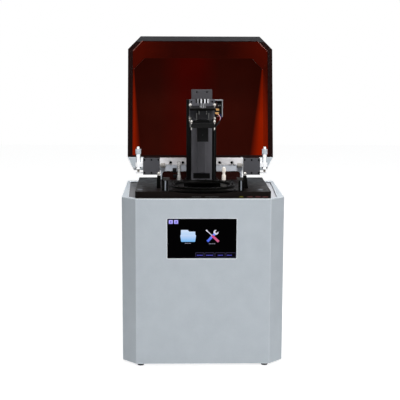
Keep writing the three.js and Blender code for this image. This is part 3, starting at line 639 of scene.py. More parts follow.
def fan_glow(graph, inset, along, side, on_side):
    """A band of painted light beside one wall that widens along the lid and fades inwards."""
    narrow, wide, softness = FAN[side]
    width = graph.spread(along, narrow, wide)
    fade = graph.times(width, softness)
    ramp = graph.math("DIVIDE", graph.math("SUBTRACT", width, inset), fade)
    clipped = graph.math("MINIMUM", graph.math("MAXIMUM", ramp, 0.0), 1.0)
    return graph.times(clipped, on_side)


def lit_ink(name, top, bottom, z_low, z_high):
    """A backlit colour of the screen's picture that changes from bottom to top, with a pixel grid."""
    graph = Graph(name)
    z = graph.add("ShaderNodeSeparateXYZ", {"Vector": graph.place}).outputs["Z"]
    color = graph.mix(graph.spread(z, 0, 1, z_low * MM, z_high * MM), bottom, top)
    grid = graph.add("ShaderNodeTexChecker", {"Vector": graph.place, "Scale": 1 / (0.6 * MM)})
    power = graph.spread(grid.outputs["Fac"], 0.94, 1.0)
    shader = graph.add("ShaderNodeEmission", {"Color": color, "Strength": power})
    return graph.finish(shader)


def srgb(red, green, blue):
    """A linear colour from familiar 0-255 values."""
    def linear(value):
        share = value / 255
        return share / 12.92 if share <= 0.04045 else ((share + 0.055) / 1.055) ** 2.4
    return linear(red), linear(green), linear(blue)


ANODISED_EDGE = (0.20, 0.20, 0.21)
BLACK_EDGE = (0.05, 0.05, 0.052)

# the numbers of a look are in the order of Look's fields: colour, roughness, metal, size and depth of
# the grain in millimetres, drift of the colour, wear of the edges and its colour, streak of the grain
LOOKS = {
    "sheet_metal": Look(srgb(190, 192, 196), 0.38, 0.55, 0.8, 0.012, 0.05, 0.3, (0.8, 0.8, 0.82), BRUSHED_X),
    "bright_metal": Look(srgb(222, 225, 230), 0.22, 0.85, 0.7, 0.004, 0.04, 0.2, (0.9, 0.9, 0.92)),
    "satin_steel": Look(srgb(212, 218, 225), 0.34, 0.45, 0.6, 0.006, 0.04, 0.3, (0.85, 0.86, 0.88)),
    # stage_steel and warm_metal emit a little of their own colour: a painted highlight
    "stage_steel": Look(srgb(240, 241, 243), 0.36, 0.2, 0.6, 0.006, 0.04, 0.3, (0.9, 0.9, 0.92), glow=0.32),
    "warm_metal": Look(srgb(246, 238, 228), 0.28, 0.3, 0.6, 0.004, 0.04, 0.1, (0.95, 0.92, 0.9), glow=0.3),
    "clamp_metal": Look(srgb(165, 161, 156), 0.45, 0.35, 0.5, 0.010, 0.08, 0.3, (0.55, 0.54, 0.52)),
    "jaw_metal": Look(srgb(58, 56, 54), 0.42, 0.4, 0.6, 0.008, 0.08, 0.3, ANODISED_EDGE),
    "rod_metal": Look(srgb(176, 184, 194), 0.30, 0.6, 0.5, 0.004, 0.05, 0.1, (0.7, 0.72, 0.75)),
    "fastener_steel": Look(srgb(196, 196, 194), 0.28, 0.85, 0.5, 0.006, 0.08, 0.3, (0.9, 0.9, 0.9)),
    "black_screw": Look(srgb(16, 16, 16), 0.40, 0.3, 0.4, 0.005, 0.1, 0.2, BLACK_EDGE, gloss=0.3),
    "dark_anodised": Look(srgb(92, 92, 97), 0.48, 0.3, 0.5, 0.008, 0.05, 0.45, ANODISED_EDGE),
    "column_grey": Look(srgb(116, 115, 121), 0.42, 0.35, 0.6, 0.010, 0.06, 0.4, ANODISED_EDGE, BRUSHED_Z),
    "top_block_grey": Look(srgb(88, 87, 91), 0.45, 0.35, 0.6, 0.010, 0.05, 0.3, ANODISED_EDGE),
    "head_grey": Look(srgb(70, 70, 74), 0.42, 0.4, 0.5, 0.008, 0.05, 0.3, ANODISED_EDGE, gloss=0.4),
    # painted light: the carriage is drawn lighter than head_grey, making up for the shade the arm casts on it
    "carriage_lit_grey": Look(srgb(100, 100, 106), 0.42, 0.3, 0.5, 0.008, 0.05, 0.3, ANODISED_EDGE, gloss=0.3),
    "black_anodised": Look(srgb(18, 18, 18), 0.42, 0.1, 0.5, 0.008, 0.08, 0.3, BLACK_EDGE, gloss=0.35),
    "platform_black": Look(srgb(15, 15, 16), 0.42, 0.1, 0.5, 0.008, 0.08, 0.2, BLACK_EDGE, gloss=0.3),
    "vat_black": Look(srgb(7, 7, 6), 0.40, 0.0, 0.5, 0.008, 0.10, 0.1, BLACK_EDGE, gloss=0.10),
    "deck_black": Look(srgb(19, 14, 12), 0.38, 0.0, 0.6, 0.006, 0.08, 0.3, BLACK_EDGE, gloss=0.13),
    "pad_grey": Look(srgb(122, 126, 134), 0.45, 0.2, 0.6, 0.008, 0.08),
    # the gutter's two looks are a shaded and a lit copy of one paint: painted shadow and painted light
    "gutter_painted_shadow": Look(srgb(118, 118, 121), 0.55, 0.1, 1.4, 0.02, 0.06),
    "gutter_painted_lit": Look(srgb(196, 197, 202), 0.50, 0.1, 1.4, 0.02, 0.04),
    "black_plastic": Look(srgb(22, 22, 24), 0.50, 0.0, 0.9, 0.02, 0.1, 0.15, BLACK_EDGE, gloss=0.4),
    "foot_rubber": Look(srgb(60, 61, 64), 0.75, 0.0, 1.2, 0.05, 0.1, 0.2, (0.10, 0.10, 0.10)),
    "rim_black": Look(srgb(26, 12, 11), 0.30, 0.0, 1.5, 0.01, 0.08, 0.3, (0.05, 0.03, 0.03), gloss=0.15),
    "rim_reflection_grey": Look(srgb(52, 52, 54), 0.40, 0.0, 1.5, 0.01, 0.08),
    "seam_highlight": Look(srgb(160, 104, 96), 0.30, 0.0, 0.8, 0.004, 0.15),
    "riser_red": Look(srgb(40, 17, 14), 0.26, 0.0, 2.0, 0.01, 0.1, 0.2, (0.06, 0.03, 0.03), gloss=0.12),
    "limit_board": Look(srgb(20, 22, 21), 0.40, 0.0, 1.2, 0.02, 0.2, 0.2, (0.1, 0.12, 0.1), gloss=0.3),
    "tan_plastic": Look(srgb(198, 152, 94), 0.45, 0.0, 0.7, 0.02, 0.08, 0.2, (0.75, 0.6, 0.4)),
    "red_wire": Look(srgb(176, 76, 84), 0.45, 0.0, 0.8, 0.01, 0.08),
    "blue_wire": Look(srgb(38, 44, 120), 0.45, 0.0, 0.8, 0.01, 0.08),
    "white_wire": Look(srgb(214, 202, 204), 0.45, 0.0, 0.8, 0.01, 0.06),
    "black_cable": Look(srgb(22, 22, 23), 0.55, 0.0, 0.8, 0.02, 0.1),
    "yellow_mark": Look(srgb(104, 98, 22), 0.5, 0.0, 0.5, 0.005, 0.1),
    "red_mark": Look(srgb(88, 52, 50), 0.5, 0.0, 0.5, 0.005, 0.1),
    "grey_mark": Look(srgb(62, 62, 60), 0.5, 0.0, 0.5, 0.005, 0.1),
    "engraved": Look(srgb(20, 20, 22), 0.6, 0.0, 0.5, 0.005, 0.1),
    "lens_coating": Look(srgb(24, 30, 44), 0.06, 0.0, 3.0, 0.001, 0.1, coat=1.0),
    "beam_upper": Look(srgb(238, 236, 238), 0.42, 0.15, 0.5, 0.012, 0.07, 0.3, (0.8, 0.8, 0.82), BRUSHED_X),
    "beam_lower": Look(srgb(206, 211, 220), 0.42, 0.15, 0.5, 0.012, 0.07, 0.3, (0.8, 0.8, 0.82), BRUSHED_X),
}

# a node with two finishes takes the second one inside a zone
TWO_TONE = {
    "beam": ("beam_upper", "beam_lower", zone(z=(380, 428.05))),
    # painted reflection: the rim's upper band is drawn grey for the overhead light it reflects
    "lid_rim": ("rim_black", "rim_reflection_grey", zone(z=(723, 740))),
    "stage_plate": ("dark_anodised", "stage_steel", zone(x=(139.5, 160))),
    "stage_slide": ("stage_steel", "black_screw", zone(x=(99, 139.2), z=(447, 460))),
    "rail": ("black_anodised", "column_grey", zone(y=(20, 30.2), z=(390, 414.35))),
    # painted shadow: the gutter is drawn dark on the left, where the deck casts its shadow, and light on the
    # right
    "gutter_paint": ("gutter_painted_shadow", "gutter_painted_lit", zone(right=(0, 200))),
}

FINISHES = {name: solid_finish(name, look) for name, look in LOOKS.items()}
for name, (first, second, inside) in TWO_TONE.items():
    FINISHES[name] = solid_finish(name, LOOKS[first], LOOKS[second], inside)
FINISHES.update({
    "case_paint": case_paint(),
    "display": display_glass(),
    "window_glass": clear_material("window_glass", (0.06, 0.07, 0.08), 0.04, 0.7),
    "clear_film": clear_material("clear_film", (0.50, 0.52, 0.54), 0.08, 0.9),
    "circuit_board": circuit_board(),
    "red_acrylic": red_acrylic(),
    "head_metal": turned_metal("head_metal", srgb(206, 214, 222), srgb(86, 90, 96), 0.3, 0.15),
    "sleeve_metal": turned_metal("sleeve_metal", srgb(250, 252, 254), srgb(96, 100, 106), 0.3, 0.45),
    "spindle_metal": turned_metal("spindle_metal", srgb(176, 168, 160), srgb(84, 78, 74)),
    "knob_metal": knob_metal(),
    "ball_steel": turned_metal("ball_steel", srgb(250, 246, 240), srgb(120, 104, 92), 0.5),
    "tap_metal": turned_metal("tap_metal", srgb(236, 234, 232), srgb(60, 56, 56), 0.6, 0.15),
})

# ---- Objects ------------------------------------------------------------------------------------

CREASE = math.radians(40)  # sharper edges stay crisp in the shading
ROUNDED_EDGE = math.radians(32)  # sharper edges are rounded
SAME_PLANE = math.radians(0.5)  # faces that differ by less become one
WELD_GAP = 0.01 * MM  # points that lie closer become one


def smooth_group():
    """A modifier group that shades faces smooth and keeps sharp edges crisp."""
    tree = bpy.data.node_groups.new("smooth_by_angle", "GeometryNodeTree")
    tree.is_modifier = True
    tree.interface.new_socket("Geometry", in_out="INPUT", socket_type="NodeSocketGeometry")
    tree.interface.new_socket("Geometry", in_out="OUTPUT", socket_type="NodeSocketGeometry")
    entry = tree.nodes.new("NodeGroupInput")
    leave = tree.nodes.new("NodeGroupOutput")
    angle = tree.nodes.new("GeometryNodeInputMeshEdgeAngle")
    steep = tree.nodes.new("FunctionNodeCompare")
    steep.operation = "GREATER_THAN"
    steep.inputs[1].default_value = CREASE
    faces = tree.nodes.new("GeometryNodeSetShadeSmooth")
    faces.domain = "FACE"
    edges = tree.nodes.new("GeometryNodeSetShadeSmooth")
    edges.domain = "EDGE"
    edges.inputs["Shade Smooth"].default_value = False
    tree.links.new(entry.outputs[0], faces.inputs["Geometry"])
    tree.links.new(faces.outputs["Geometry"], edges.inputs["Geometry"])
    tree.links.new(angle.outputs["Unsigned Angle"], steep.inputs[0])
    tree.links.new(steep.outputs["Result"], edges.inputs["Selection"])
    tree.links.new(edges.outputs["Geometry"], leave.inputs[0])
    return tree


SMOOTH = smooth_group()


def add_rounding(item, width):
    """Rounds the sharp edges by width millimetres and shades the rest smooth."""
    if width > 0:
        bevel = item.modifiers.new("rounding", "BEVEL")
        bevel.width = width * MM
        bevel.segments = 3
        bevel.limit_method = "ANGLE"
        bevel.angle_limit = ROUNDED_EDGE
        bevel.use_clamp_overlap = True
    shade = item.modifiers.new("shading", "NODES")
    shade.node_group = SMOOTH
    weighted = item.modifiers.new("normals", "WEIGHTED_NORMAL")
    weighted.keep_sharp = True


def piece(name, shape, finish, body="base", stands_for=(), rounding=0.0):
    """Adds a visual piece that rides on a CAD body."""
    points, faces = shape
    mesh = bpy.data.meshes.new(name)
    mesh.from_pydata([Vector(p) * MM for p in points], [], faces)
    skin = bmesh.new()
    skin.from_mesh(mesh)
    bmesh.ops.recalc_face_normals(skin, faces=skin.faces)
    skin.to_mesh(mesh)
    skin.free()
    mesh.materials.append(FINISHES[finish])
    item = bpy.data.objects.new(name, mesh)
    bpy.context.scene.collection.objects.link(item)
    add_rounding(item, rounding)
    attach(item, body)
    if stands_for:
        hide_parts(*stands_for)


def stand_in(node, shape, finish, body=None, rounding=0.0):
    """A smooth piece in place of a faceted CAD node, on the body of the same name if none is given."""
    piece(f"{node}_smooth", shape, finish, body or node, (node,), rounding)


def add_screws(name, head, places, finish, body="base", turn=None):
    """One piece that holds a like screw head at each place."""
    piece(name, joined(*[moved(head, place, turn) for place in places]), finish, body)


def dress_node(name, finish, width):
    """Gives a CAD node its finish and its rounded, smoothly shaded edges."""
    item = frame["nodes"][name]
    item.data.materials.clear()
    item.data.materials.append(FINISHES[finish])
    weld = item.modifiers.new("weld", "WELD")
    weld.merge_threshold = WELD_GAP
    flat = item.modifiers.new("flat", "DECIMATE")
    flat.decimate_type = "DISSOLVE"
    flat.angle_limit = SAME_PLANE
    add_rounding(item, width)


NODE_FINISH = {
    "deck_plate": "deck_black",
    "column_cover": "column_grey",
    "column_top_block": "top_block_grey",
    "z_rail": "rail",
    "carriage": "carriage_lit_grey",
    "build_platform": "platform_black",
    "arm_bracket": "vat_black",
    "pivot_block": "head_grey",
    "hinge_riser": "riser_red",
    "lid_rim_frame": "lid_rim",
}
SIDED_NODE_FINISH = {
    "stage_frame": "beam",
    "stage_base": "stage_slide",
    "stage_table": "stage_plate",
    "clamp_jaw": "jaw_metal",
    "screw_bracket": "vat_black",
    "vat_post": "vat_black",
}
for base_name, finish in SIDED_NODE_FINISH.items():
    for side, _ in SIDES:
        NODE_FINISH[f"{base_name}_{side}"] = finish
NODE_ROUNDING = {
    "outer_shell": 1.0,
    "rear_cover": 0.9,
    "deck_plate": 0.8,
    "lid_shell": 0.7,
    "lid_rim_frame": 0.6,
    "lid_hinge_cover": 1.0,
    "levelling_plate": 1.2,
    "arm_bracket": 0.8,
    "carriage": 0.7,
    "fan_rotor": 0.2,
}
COMMON_ROUNDING = 0.4


def dress_cad_nodes():
    for entry in frame["record"]["subparts"]:
        name = entry["node"]
        slot = entry["material_slot"]
        finish = NODE_FINISH.get(name, slot)
        dress_node(name, finish, NODE_ROUNDING.get(name, COMMON_ROUNDING))


# ---- The screen's picture -----------------------------------------------------------------------

LAYER = 0.05  # thickness of one layer of the picture


def on_screen(outline, layer=0):
    """A flat shape over the glass from (x, z) points measured from the window's centre."""
    front = SCREEN["glass"] - (layer + 1) * LAYER
    shifted = [(SCREEN["x"] + x, SCREEN["z"] + z) for x, z in outline]
    return slab(shifted, front, front + LAYER)


def strip(start, end, half_width):
    """The outline of a thick stroke with square ends."""
    a = Vector(start)
    b = Vector(end)
    across = Vector((a.y - b.y, b.x - a.x)).normalized() * half_width
    return [tuple(a + across), tuple(b + across), tuple(b - across), tuple(a - across)]


def ink(name, top, bottom, middle, reach):
    """Adds a backlit finish that changes colour over a span of heights round the given middle."""
    low = SCREEN["z"] + middle - reach
    FINISHES[name] = lit_ink(name, top, bottom, low, low + 2 * reach)


def screen_badges():
    """Two small lavender badges at the top left, each with a darker dot."""
    ink("badge_ink", srgb(186, 180, 255), srgb(164, 158, 248), 38, 5)
    ink("badge_dot_ink", srgb(92, 84, 190), srgb(92, 84, 190), 38, 5)
    centres = ((-69.2, 37.9), (-57.4, 37.9))
    badges = [on_screen(at(rounded(4.6, 4.3, 1.0), x, z)) for x, z in centres]
    dots = [on_screen(at(rounded(1.4, 1.9, 1.2), x, z), 1) for x, z in centres]
    piece("screen_badges", joined(*badges), "badge_ink")
    piece("screen_badge_dots", joined(*dots), "badge_dot_ink")


def screen_folder():
    """A pale blue folder: its tabbed back behind its open front."""
    ink("folder_ink", srgb(240, 240, 255), srgb(110, 184, 244), 6, 14)
    ink("folder_back_ink", srgb(226, 236, 255), srgb(150, 200, 244), 12, 12)
    back = [(-46.7, 5), (-46.7, 19.2), (-46.0, 19.8), (-31.3, 19.8), (-28.6, 16.0), (-15.4, 16.0),
            (-14.8, 15.4), (-14.8, 5)]
    front = [(-48.2, 7.4), (-46.7, 9.0), (-14.6, 9.0), (-13.0, 7.4), (-15.0, -6.4), (-15.8, -7.1),
             (-45.4, -7.1), (-46.2, -6.4)]
    piece("screen_folder_back", on_screen(back), "folder_back_ink")
    piece("screen_folder_front", on_screen(front, 1), "folder_ink")


def wrench_head(centre, radius):
    """An open-ended wrench jaw that opens towards the upper right."""
    aim = math.radians(45)
    half_mouth = math.radians(32)
    steps = 16
    outline = []
    for step in range(steps + 1):
        angle = aim + half_mouth + 2 * (math.pi - half_mouth) * step / steps
        outline.append((centre[0] + radius * math.cos(angle), centre[1] + radius * math.sin(angle)))
    throat = Vector((math.cos(aim), math.sin(aim)))
    across = Vector((-throat.y, throat.x)) * 0.36 * radius
    middle = Vector(centre) - throat * 0.15 * radius
    return outline + [tuple(middle - across), tuple(middle + across)]


def screen_tools():
    """A red screwdriver crossed with a blue wrench."""
    ink("steel_ink", srgb(232, 232, 246), srgb(196, 196, 216), 12, 9)
    ink("red_handle_ink", srgb(214, 66, 116), srgb(206, 110, 150), 0, 8)
    ink("blue_handle_ink", srgb(110, 140, 250), srgb(70, 100, 226), 0, 8)
    blade = joined(on_screen(strip((10.4, 18.6), (23.6, 6.2), 0.85), 1),
                   on_screen(strip((9.2, 19.8), (12.4, 16.8), 1.5), 1))
    piece("screen_wrench_head", on_screen(wrench_head((31.2, 14.4), 5.6), 0), "steel_ink")
    piece("screen_wrench_handle", on_screen(strip((12.2, -6.4), (28.4, 10.8), 2.7), 1), "blue_handle_ink")
    piece("screen_driver_blade", moved(blade, (0, -LAYER, 0)), "steel_ink")
    piece("screen_driver_handle", on_screen(strip((22.6, 7.2), (37.4, -6.8), 2.6), 3), "red_handle_ink")


def screen_labels():
    """Small grey marks in place of captions."""
    ink("label_ink", srgb(150, 150, 166), srgb(120, 120, 136), -10.5, 3)
    marks = []
    for start, widths, z in ((-37.8, (4.2, 3.0, 4.0), -10.4), (15.6, (4.6, 3.4, 4.4), -11.4)):
        x = start
        for width in widths:
            marks.append(on_screen(at(rounded(width / 2, 0.75, 0.4), x + width / 2, z)))
            x += width + 0.9
    piece("screen_labels", joined(*marks), "label_ink")


def screen_buttons():
    """Four outlined buttons along the bottom right, each with a blue mark."""
    ink("button_line_ink", srgb(74, 70, 98), srgb(60, 58, 84), -37, 6)
    ink("button_face_ink", srgb(8, 6, 8), srgb(8, 6, 8), -37, 6)
    ink("button_mark_ink", srgb(96, 92, 214), srgb(80, 78, 190), -37.6, 2)
    spans = ((-14.5, 4.8), (6.5, 27.6), (29.3, 52.0), (53.7, 75.8))
    marks = ((-11.4, 2.2), (9.4, 25.0), (35.2, 47.2), (55.8, 67.0))
    row_z = -37.1
    mark_z = -37.6
    line = 0.7
    bars_each = 4
    frames = []
    faces = []
    bars = []
    for (left, right), (low, high) in zip(spans, marks):
        centre = (left + right) / 2
        half = (right - left) / 2
        frames.append(on_screen(at(rounded(half, 5.55, 1.8), centre, row_z)))
        faces.append(on_screen(at(rounded(half - line, 5.55 - line, 1.3), centre, row_z), 1))
        pitch = (high - low) / bars_each
        for index in range(bars_each):
            middle = low + (index + 0.5) * pitch
            bars.append(on_screen(at(rounded(pitch / 2 - 0.35, 0.85, 0.4), middle, mark_z), 2))
    piece("screen_button_lines", joined(*frames), "button_line_ink")
    piece("screen_button_faces", joined(*faces), "button_face_ink")
    piece("screen_button_marks", joined(*bars), "button_mark_ink")


# ---- Case details -------------------------------------------------------------------------------


def feet():
    radius = FOOT["radius"]
    low = -FOOT["height"]
    profile = [(0, low), (radius - 3, low), (radius - 1, low + 0.5), (radius, low + 1.8), (radius, -1.2),
               (radius - 0.5, -0.4), (0, -0.4)]
    for side, sign in SIDES:
        for end, y in (("front", -FOOT["y"]), ("rear", FOOT["y"])):
            shape = moved(revolve(profile, 40), (sign * FOOT["x"], y, 0))
            stand_in(f"foot_{end}_{side}", shape, "foot_rubber", "base")


def rear_screws():
    """Screws round the rear cover: one column at each side, and one above and below its middle."""
    side_x = REAR["screw_x"]
    heights = REAR["screw_z"]
    columns = ((-side_x, heights), (0, (heights[0], heights[-1])), (side_x, heights))
    places = [(x, REAR["face"] - 0.1, z) for x, column in columns for z in column]
    add_screws("rear_cover_screws", button_screw(3.2), places, "black_screw", turn=TO_REAR)


def power_inlet():
    """A power inlet: a flanged black housing with a recessed mouth and three flat pins."""
    face = REAR["face"]
    flange = (face, face + 2)
    half_x = INLET["half_width"]
    half_z = INLET["half_height"]
    mouth_x = 0.5 * half_x
    mouth_z = 0.62 * half_z
    floor = face - INLET["depth"]
    bars = []
    for low, high in ((-half_x - 4, -mouth_x), (mouth_x, half_x + 4)):
        bars.append(box((low, high), flange, (-half_z - 1.5, half_z + 1.5)))
    for low, high in ((-half_z - 1.5, -mouth_z), (mouth_z, half_z + 1.5)):
        bars.append(box((-mouth_x, mouth_x), flange, (low, high)))
    bars.append(box((-mouth_x - 1, mouth_x + 1), (floor - 2, floor), (-mouth_z - 1, mouth_z + 1)))
    pins = [box((x - 1, x + 1), (floor, face - 2), (z - 2.2, z + 2.2)) for x, z in INLET["pins"]]
    centre = (INLET["x"], 0, INLET["z"])
    piece("power_inlet_housing", moved(joined(*bars), centre), "black_plastic")
    piece("power_inlet_pins", moved(joined(*pins), centre), "bright_metal", rounding=0.3)
    ends = [(INLET["x"] + x, face + 2, INLET["z"]) for x in (-half_x, half_x)]
    add_screws("power_inlet_screws", button_screw(2.4), ends, "fastener_steel", turn=TO_REAR)


def deck_marks():
    """Small coloured and grey marks low on the deck's front edge."""
    z = DECK["marks_z"]
    front = DECK["front"] - 0.06
    back = DECK["front"] + 0.1
    piece("deck_mark_yellow", slab([(79, z - 1), (91, z - 1), (88, z + 1.3), (82, z + 1.3)], front, back),
          "yellow_mark")
    reds = [slab(at(rounded(6.2, 1.1, 0.5), x, z), front, back) for x in DECK["red_marks_x"]]
    piece("deck_marks_red", joined(*reds), "red_mark")
    greys = []
    for start, count in ((-26, 5), (4, 7)):
        for index in range(count):
            greys.append(slab(at(rounded(1.5, 0.9, 0.4), start + 2 + index * 4.4, z), front, back))
    piece("deck_marks_grey", joined(*greys), "grey_mark")


def deck_slots():
    """Dark slotted fixings let into the deck beside the vat, and a round pad near each front corner."""
    top = DECK["top"]
    slots = [prism(at(rounded(4.2, 1.5, 1.4), x, y), top - 0.5, top + 0.05) for x, y in DECK["slots"]]
    piece("deck_slots", joined(*slots), "engraved")
    pad = revolve([(0, 0), (6.5, 0), (6.5, 0.3), (5.9, 0.6), (0, 0.6)], 36)
    pads = [moved(pad, (x, y, top - 0.2)) for x, y in DECK["pads"]]
    piece("deck_pads", joined(*pads), "pad_grey")


# ---- Vat and deck fittings ----------------------------------------------------------------------


def vat_plate():
    """The vat's square flange with a round hole, drawn between a rounded square and a circle."""
    middle_y = (VAT["front"] + VAT["rear"]) / 2
    outer = at(rounded(VAT["half"], (VAT["rear"] - VAT["front"]) / 2, VAT["corner"], 15), 0, middle_y)
    hole = VAT["bore"] + 2
    inner = []
    for x, y in outer:
        angle = math.atan2(y - OPTICS_Y, x)
        inner.append((hole * math.cos(angle), OPTICS_Y + hole * math.sin(angle)))
    low = SEAT
    high = SEAT + VAT["plate"]
    loops = ((inner, low), (outer, low), (outer, high), (inner, high), (inner, low))
    points = [(x, y, z) for loop, z in loops[:-1] for x, y in loop]
    count = len(outer)
    faces = [tuple(index % len(points) for index in face) for face in ring_skin(len(loops), count)]
    return points, faces


def vat():
    """The vat's flange, its turned cup and rim with filleted steps, and the ring of small bolts."""
    low = VAT["low"]
    floor_top = SEAT + VAT["plate"]
    outer = VAT["outer"]
    inner = VAT["inner"]
    rim = VAT["rim"]
    profile = [
        (VAT["bore"], low), (VAT["cup"], low), (VAT["cup"], floor_top - 0.5), (outer, floor_top - 0.5),
        (outer, rim - 1.0), (outer - 0.3, rim - 0.3), (outer - 1.0, rim), (inner + 0.7, rim),
        (inner + 0.2, rim - 0.2), (inner, rim - 0.7), (inner - 1.6, floor_top + 0.4),
        (inner - 2.4, floor_top), (VAT["bore"] + 0.6, floor_top), (VAT["bore"], floor_top - 0.6),
    ]
    ring = moved(revolve(profile, 120, closed=True), (0, OPTICS_Y, 0))
    piece("vat_flange_smooth", vat_plate(), "vat_black", "vat", ("vat_body",), 0.3)
    piece("vat_ring_smooth", ring, "vat_black", "vat")
    circle = VAT["bolt_circle"]
    bolts = []
    for index in range(VAT["bolts"]):
        angle = 2 * math.pi * (index + 0.5) / VAT["bolts"]
        bolts.append((circle * math.cos(angle), OPTICS_Y + circle * math.sin(angle), rim))
    add_screws("vat_rim_bolts", button_screw(2.3), bolts, "black_screw", "vat")
    inset = 7
    ends = (VAT["front"] + inset, VAT["rear"] - inset)
    corners = [(sign * (VAT["half"] - inset), y, floor_top) for _, sign in SIDES for y in ends]
    add_screws("vat_corner_screws", button_screw(2.8), corners, "black_screw", "vat")


def post_rods():
    """A bright rod stands in the groove of each vat post."""
    radius = POST["rod_radius"]
    foot = SEAT + 2.2
    rod = revolve([(0, foot), (radius, foot), (radius, POST["top"]), (0, POST["top"])], 20)
    for side, sign in SIDES:
        piece(f"post_rod_{side}", moved(rod, (sign * POST["rod_x"], POST["rod_y"], 0)), "rod_metal")


def ball_screws():
    shape = ball_head(BALL["radius"], BALL["base"] - BALL["z"], BALL["stem"])
    for side, sign in SIDES:
        stand_in(f"ball_screw_{side}", moved(shape, (sign * BALL[side], BALL["y"], BALL["z"])), "ball_steel")


def tap():
    """A bright fitting with a hexagon foot, a black side knob and a smaller black collar below it."""
    low = TAP["low"]
    profile = [
        (0, low + 4.5), (4.4, low + 4.5), (5, low + 5), (5, low + 11.5), (4.4, low + 12.2), (3.6, low + 13),
        (3.6, low + 32.5), (4.6, low + 33.6), (4.6, low + 41), (4.2, low + 43), (2.6, low + 45.2),
        (0, low + 45.7),
    ]
    corners = [math.radians(60 * corner) for corner in range(6)]
    hexagon = [(TAP["hexagon"] * math.cos(a), TAP["hexagon"] * math.sin(a)) for a in corners]
    body = joined(revolve(profile, 40, (20, 0.25, low + 33.5, low + 41.5)), prism(hexagon, low, low + 4.6))
    stand_in("fill_fitting", moved(body, (TAP["x"], TAP["y"], 0)), "tap_metal", body="base", rounding=0.2)
    stalk = revolve([(2.4, -6), (2.4, 6)], 24)
    piece("fitting_stalk", moved(stalk, (TAP["x"] - 4, TAP["y"], TAP["knob_z"]), ALONG_X), "satin_steel")
    near, far = TAP["knob"]
    half = (far - near) / 2
    radius = TAP["knob_radius"]
    knob = revolve([(0, -half), (radius - 1.2, -half), (radius, -half + 1.2), (radius, half - 1.2),
                    (radius - 1.2, half), (0, half)], 96, (10, 0.9, -half + 0.5, half - 0.5))
    knob_place = ((near + far) / 2, TAP["y"], TAP["knob_z"])
    stand_in("fitting_knob", moved(knob, knob_place, ALONG_X), "black_plastic")
    rounded_disc = [(0, -4), (3.9, -4), (4.4, -3.4), (4.4, 3.4), (3.9, 4), (0, 4)]
    collar = revolve(rounded_disc, 60, (8, 0.7, -3.5, 3.5))
    collar_place = (TAP["collar_x"], TAP["y"], TAP["collar_z"])
    piece("fitting_collar", moved(collar, collar_place, ALONG_X), "black_plastic")


def thumb_screw():
    low = THUMB["low"]
    profile = [
        (0, low), (4.5, low), (4.8, low + 0.4), (4.8, low + 11.4), (4.2, low + 12.2), (3.2, low + 13.8),
        (3.2, low + 18), (4.4, low + 19.6), (4.6, low + 20.2), (4.6, low + 27.6), (3.9, low + 29.8),
        (2.6, low + 31), (0, low + 31),
    ]
    shape = revolve(profile, 96, (24, 0.3, low + 20, low + 28))
    stand_in("thumb_screw", moved(shape, (THUMB["x"], THUMB["y"], 0)), "warm_metal")


# ---- Column and head ----------------------------------------------------------------------------


def lead_screw():
    """The drive's coupling sleeve with a groove round its middle, and the threaded rod above it."""
    low = SCREW["low"]
    sleeve = SCREW["sleeve"]
    top = SCREW["sleeve_top"]
    grip = revolve([(2.9, low), (sleeve, low), (sleeve, low + 9.6), (sleeve - 1, low + 10.4),
                    (sleeve - 1, low + 11.6), (sleeve, low + 12.4), (sleeve, top - 0.5), (sleeve - 0.5, top),
                    (3, top)], 48)
    rod = threaded_rod(SCREW["core"], SCREW["radius"], SCREW["pitch"], top - 1, SCREW["top"])
    stand_in("lead_screw", moved(joined(grip, rod), (0, SCREW["y"], 0)), "bright_metal")


def lens():
    """The projector's lens: a flanged barrel with a fluted grip, and a domed glass in its mouth."""
    low = LENS["low"]
    top = LENS["top"]
    flange = LENS["flange"]
    flange_top = LENS["flange_top"]
    barrel_radius = LENS["barrel"]
    shoulder = LENS["barrel_top"]
    ring = LENS["ring"]
    mouth = LENS["mouth"]
    grip = (36, 0.5, *LENS["grip"])
    barrel = [
        (0, low), (flange, low), (flange, flange_top - 1), (flange - 1, flange_top),
        (barrel_radius, flange_top), (barrel_radius, shoulder), (barrel_radius + 1, shoulder + 1),
        (ring, shoulder + 1.6), (ring, top - 1), (ring - 0.8, top), (mouth, top), (mouth - 1.5, top - 2.5),
    ]
    piece("projector_lens_barrel", moved(revolve(barrel, 72, grip), (0, OPTICS_Y, 0)), "black_anodised",
          "base", ("projector_lens",))
    radius = LENS["glass"]
    edge_z = LENS["glass_z"]
    dome = LENS["dome"]
    glass = [(radius + 0.6, edge_z + 2)]
    glass += [(radius * math.cos(a), edge_z + dome * math.sin(a)) for a in (0.5, 0.8, 1.1, 1.35)]
    glass.append((0, edge_z + dome))
    piece("projector_lens_glass", moved(revolve(glass, 48), (0, OPTICS_Y, 0)), "lens_coating")


def lock_knob():
    """The build head's fluted knob on its neck, with a shallow recess in its top."""
    low = KNOB["low"]
    head_low = KNOB["head_low"]
    head_high = KNOB["head_high"]
    radius = KNOB["radius"]
    neck = KNOB["neck"]
    profile = [
        (0, low - 5.2), (3.8, low - 5.2), (3.8, low), (neck - 0.4, low), (neck, low + 0.4),
        (neck, head_low - 1.4), (neck - 0.6, head_low - 0.9), (neck - 0.6, head_low),
        (radius - 1.2, head_low), (radius, head_low + 0.9), (radius, head_high - 0.9),
        (radius - 1.2, head_high), (radius - 4, head_high), (radius - 4.6, head_high - 0.7),
        (0, head_high - 0.7),
    ]
    shape = revolve(profile, 160, (KNOB["flutes"], 1.5, head_low + 0.5, head_high - 0.5))
    stand_in("lock_knob", moved(shape, (0, OPTICS_Y, 0)), "knob_metal")


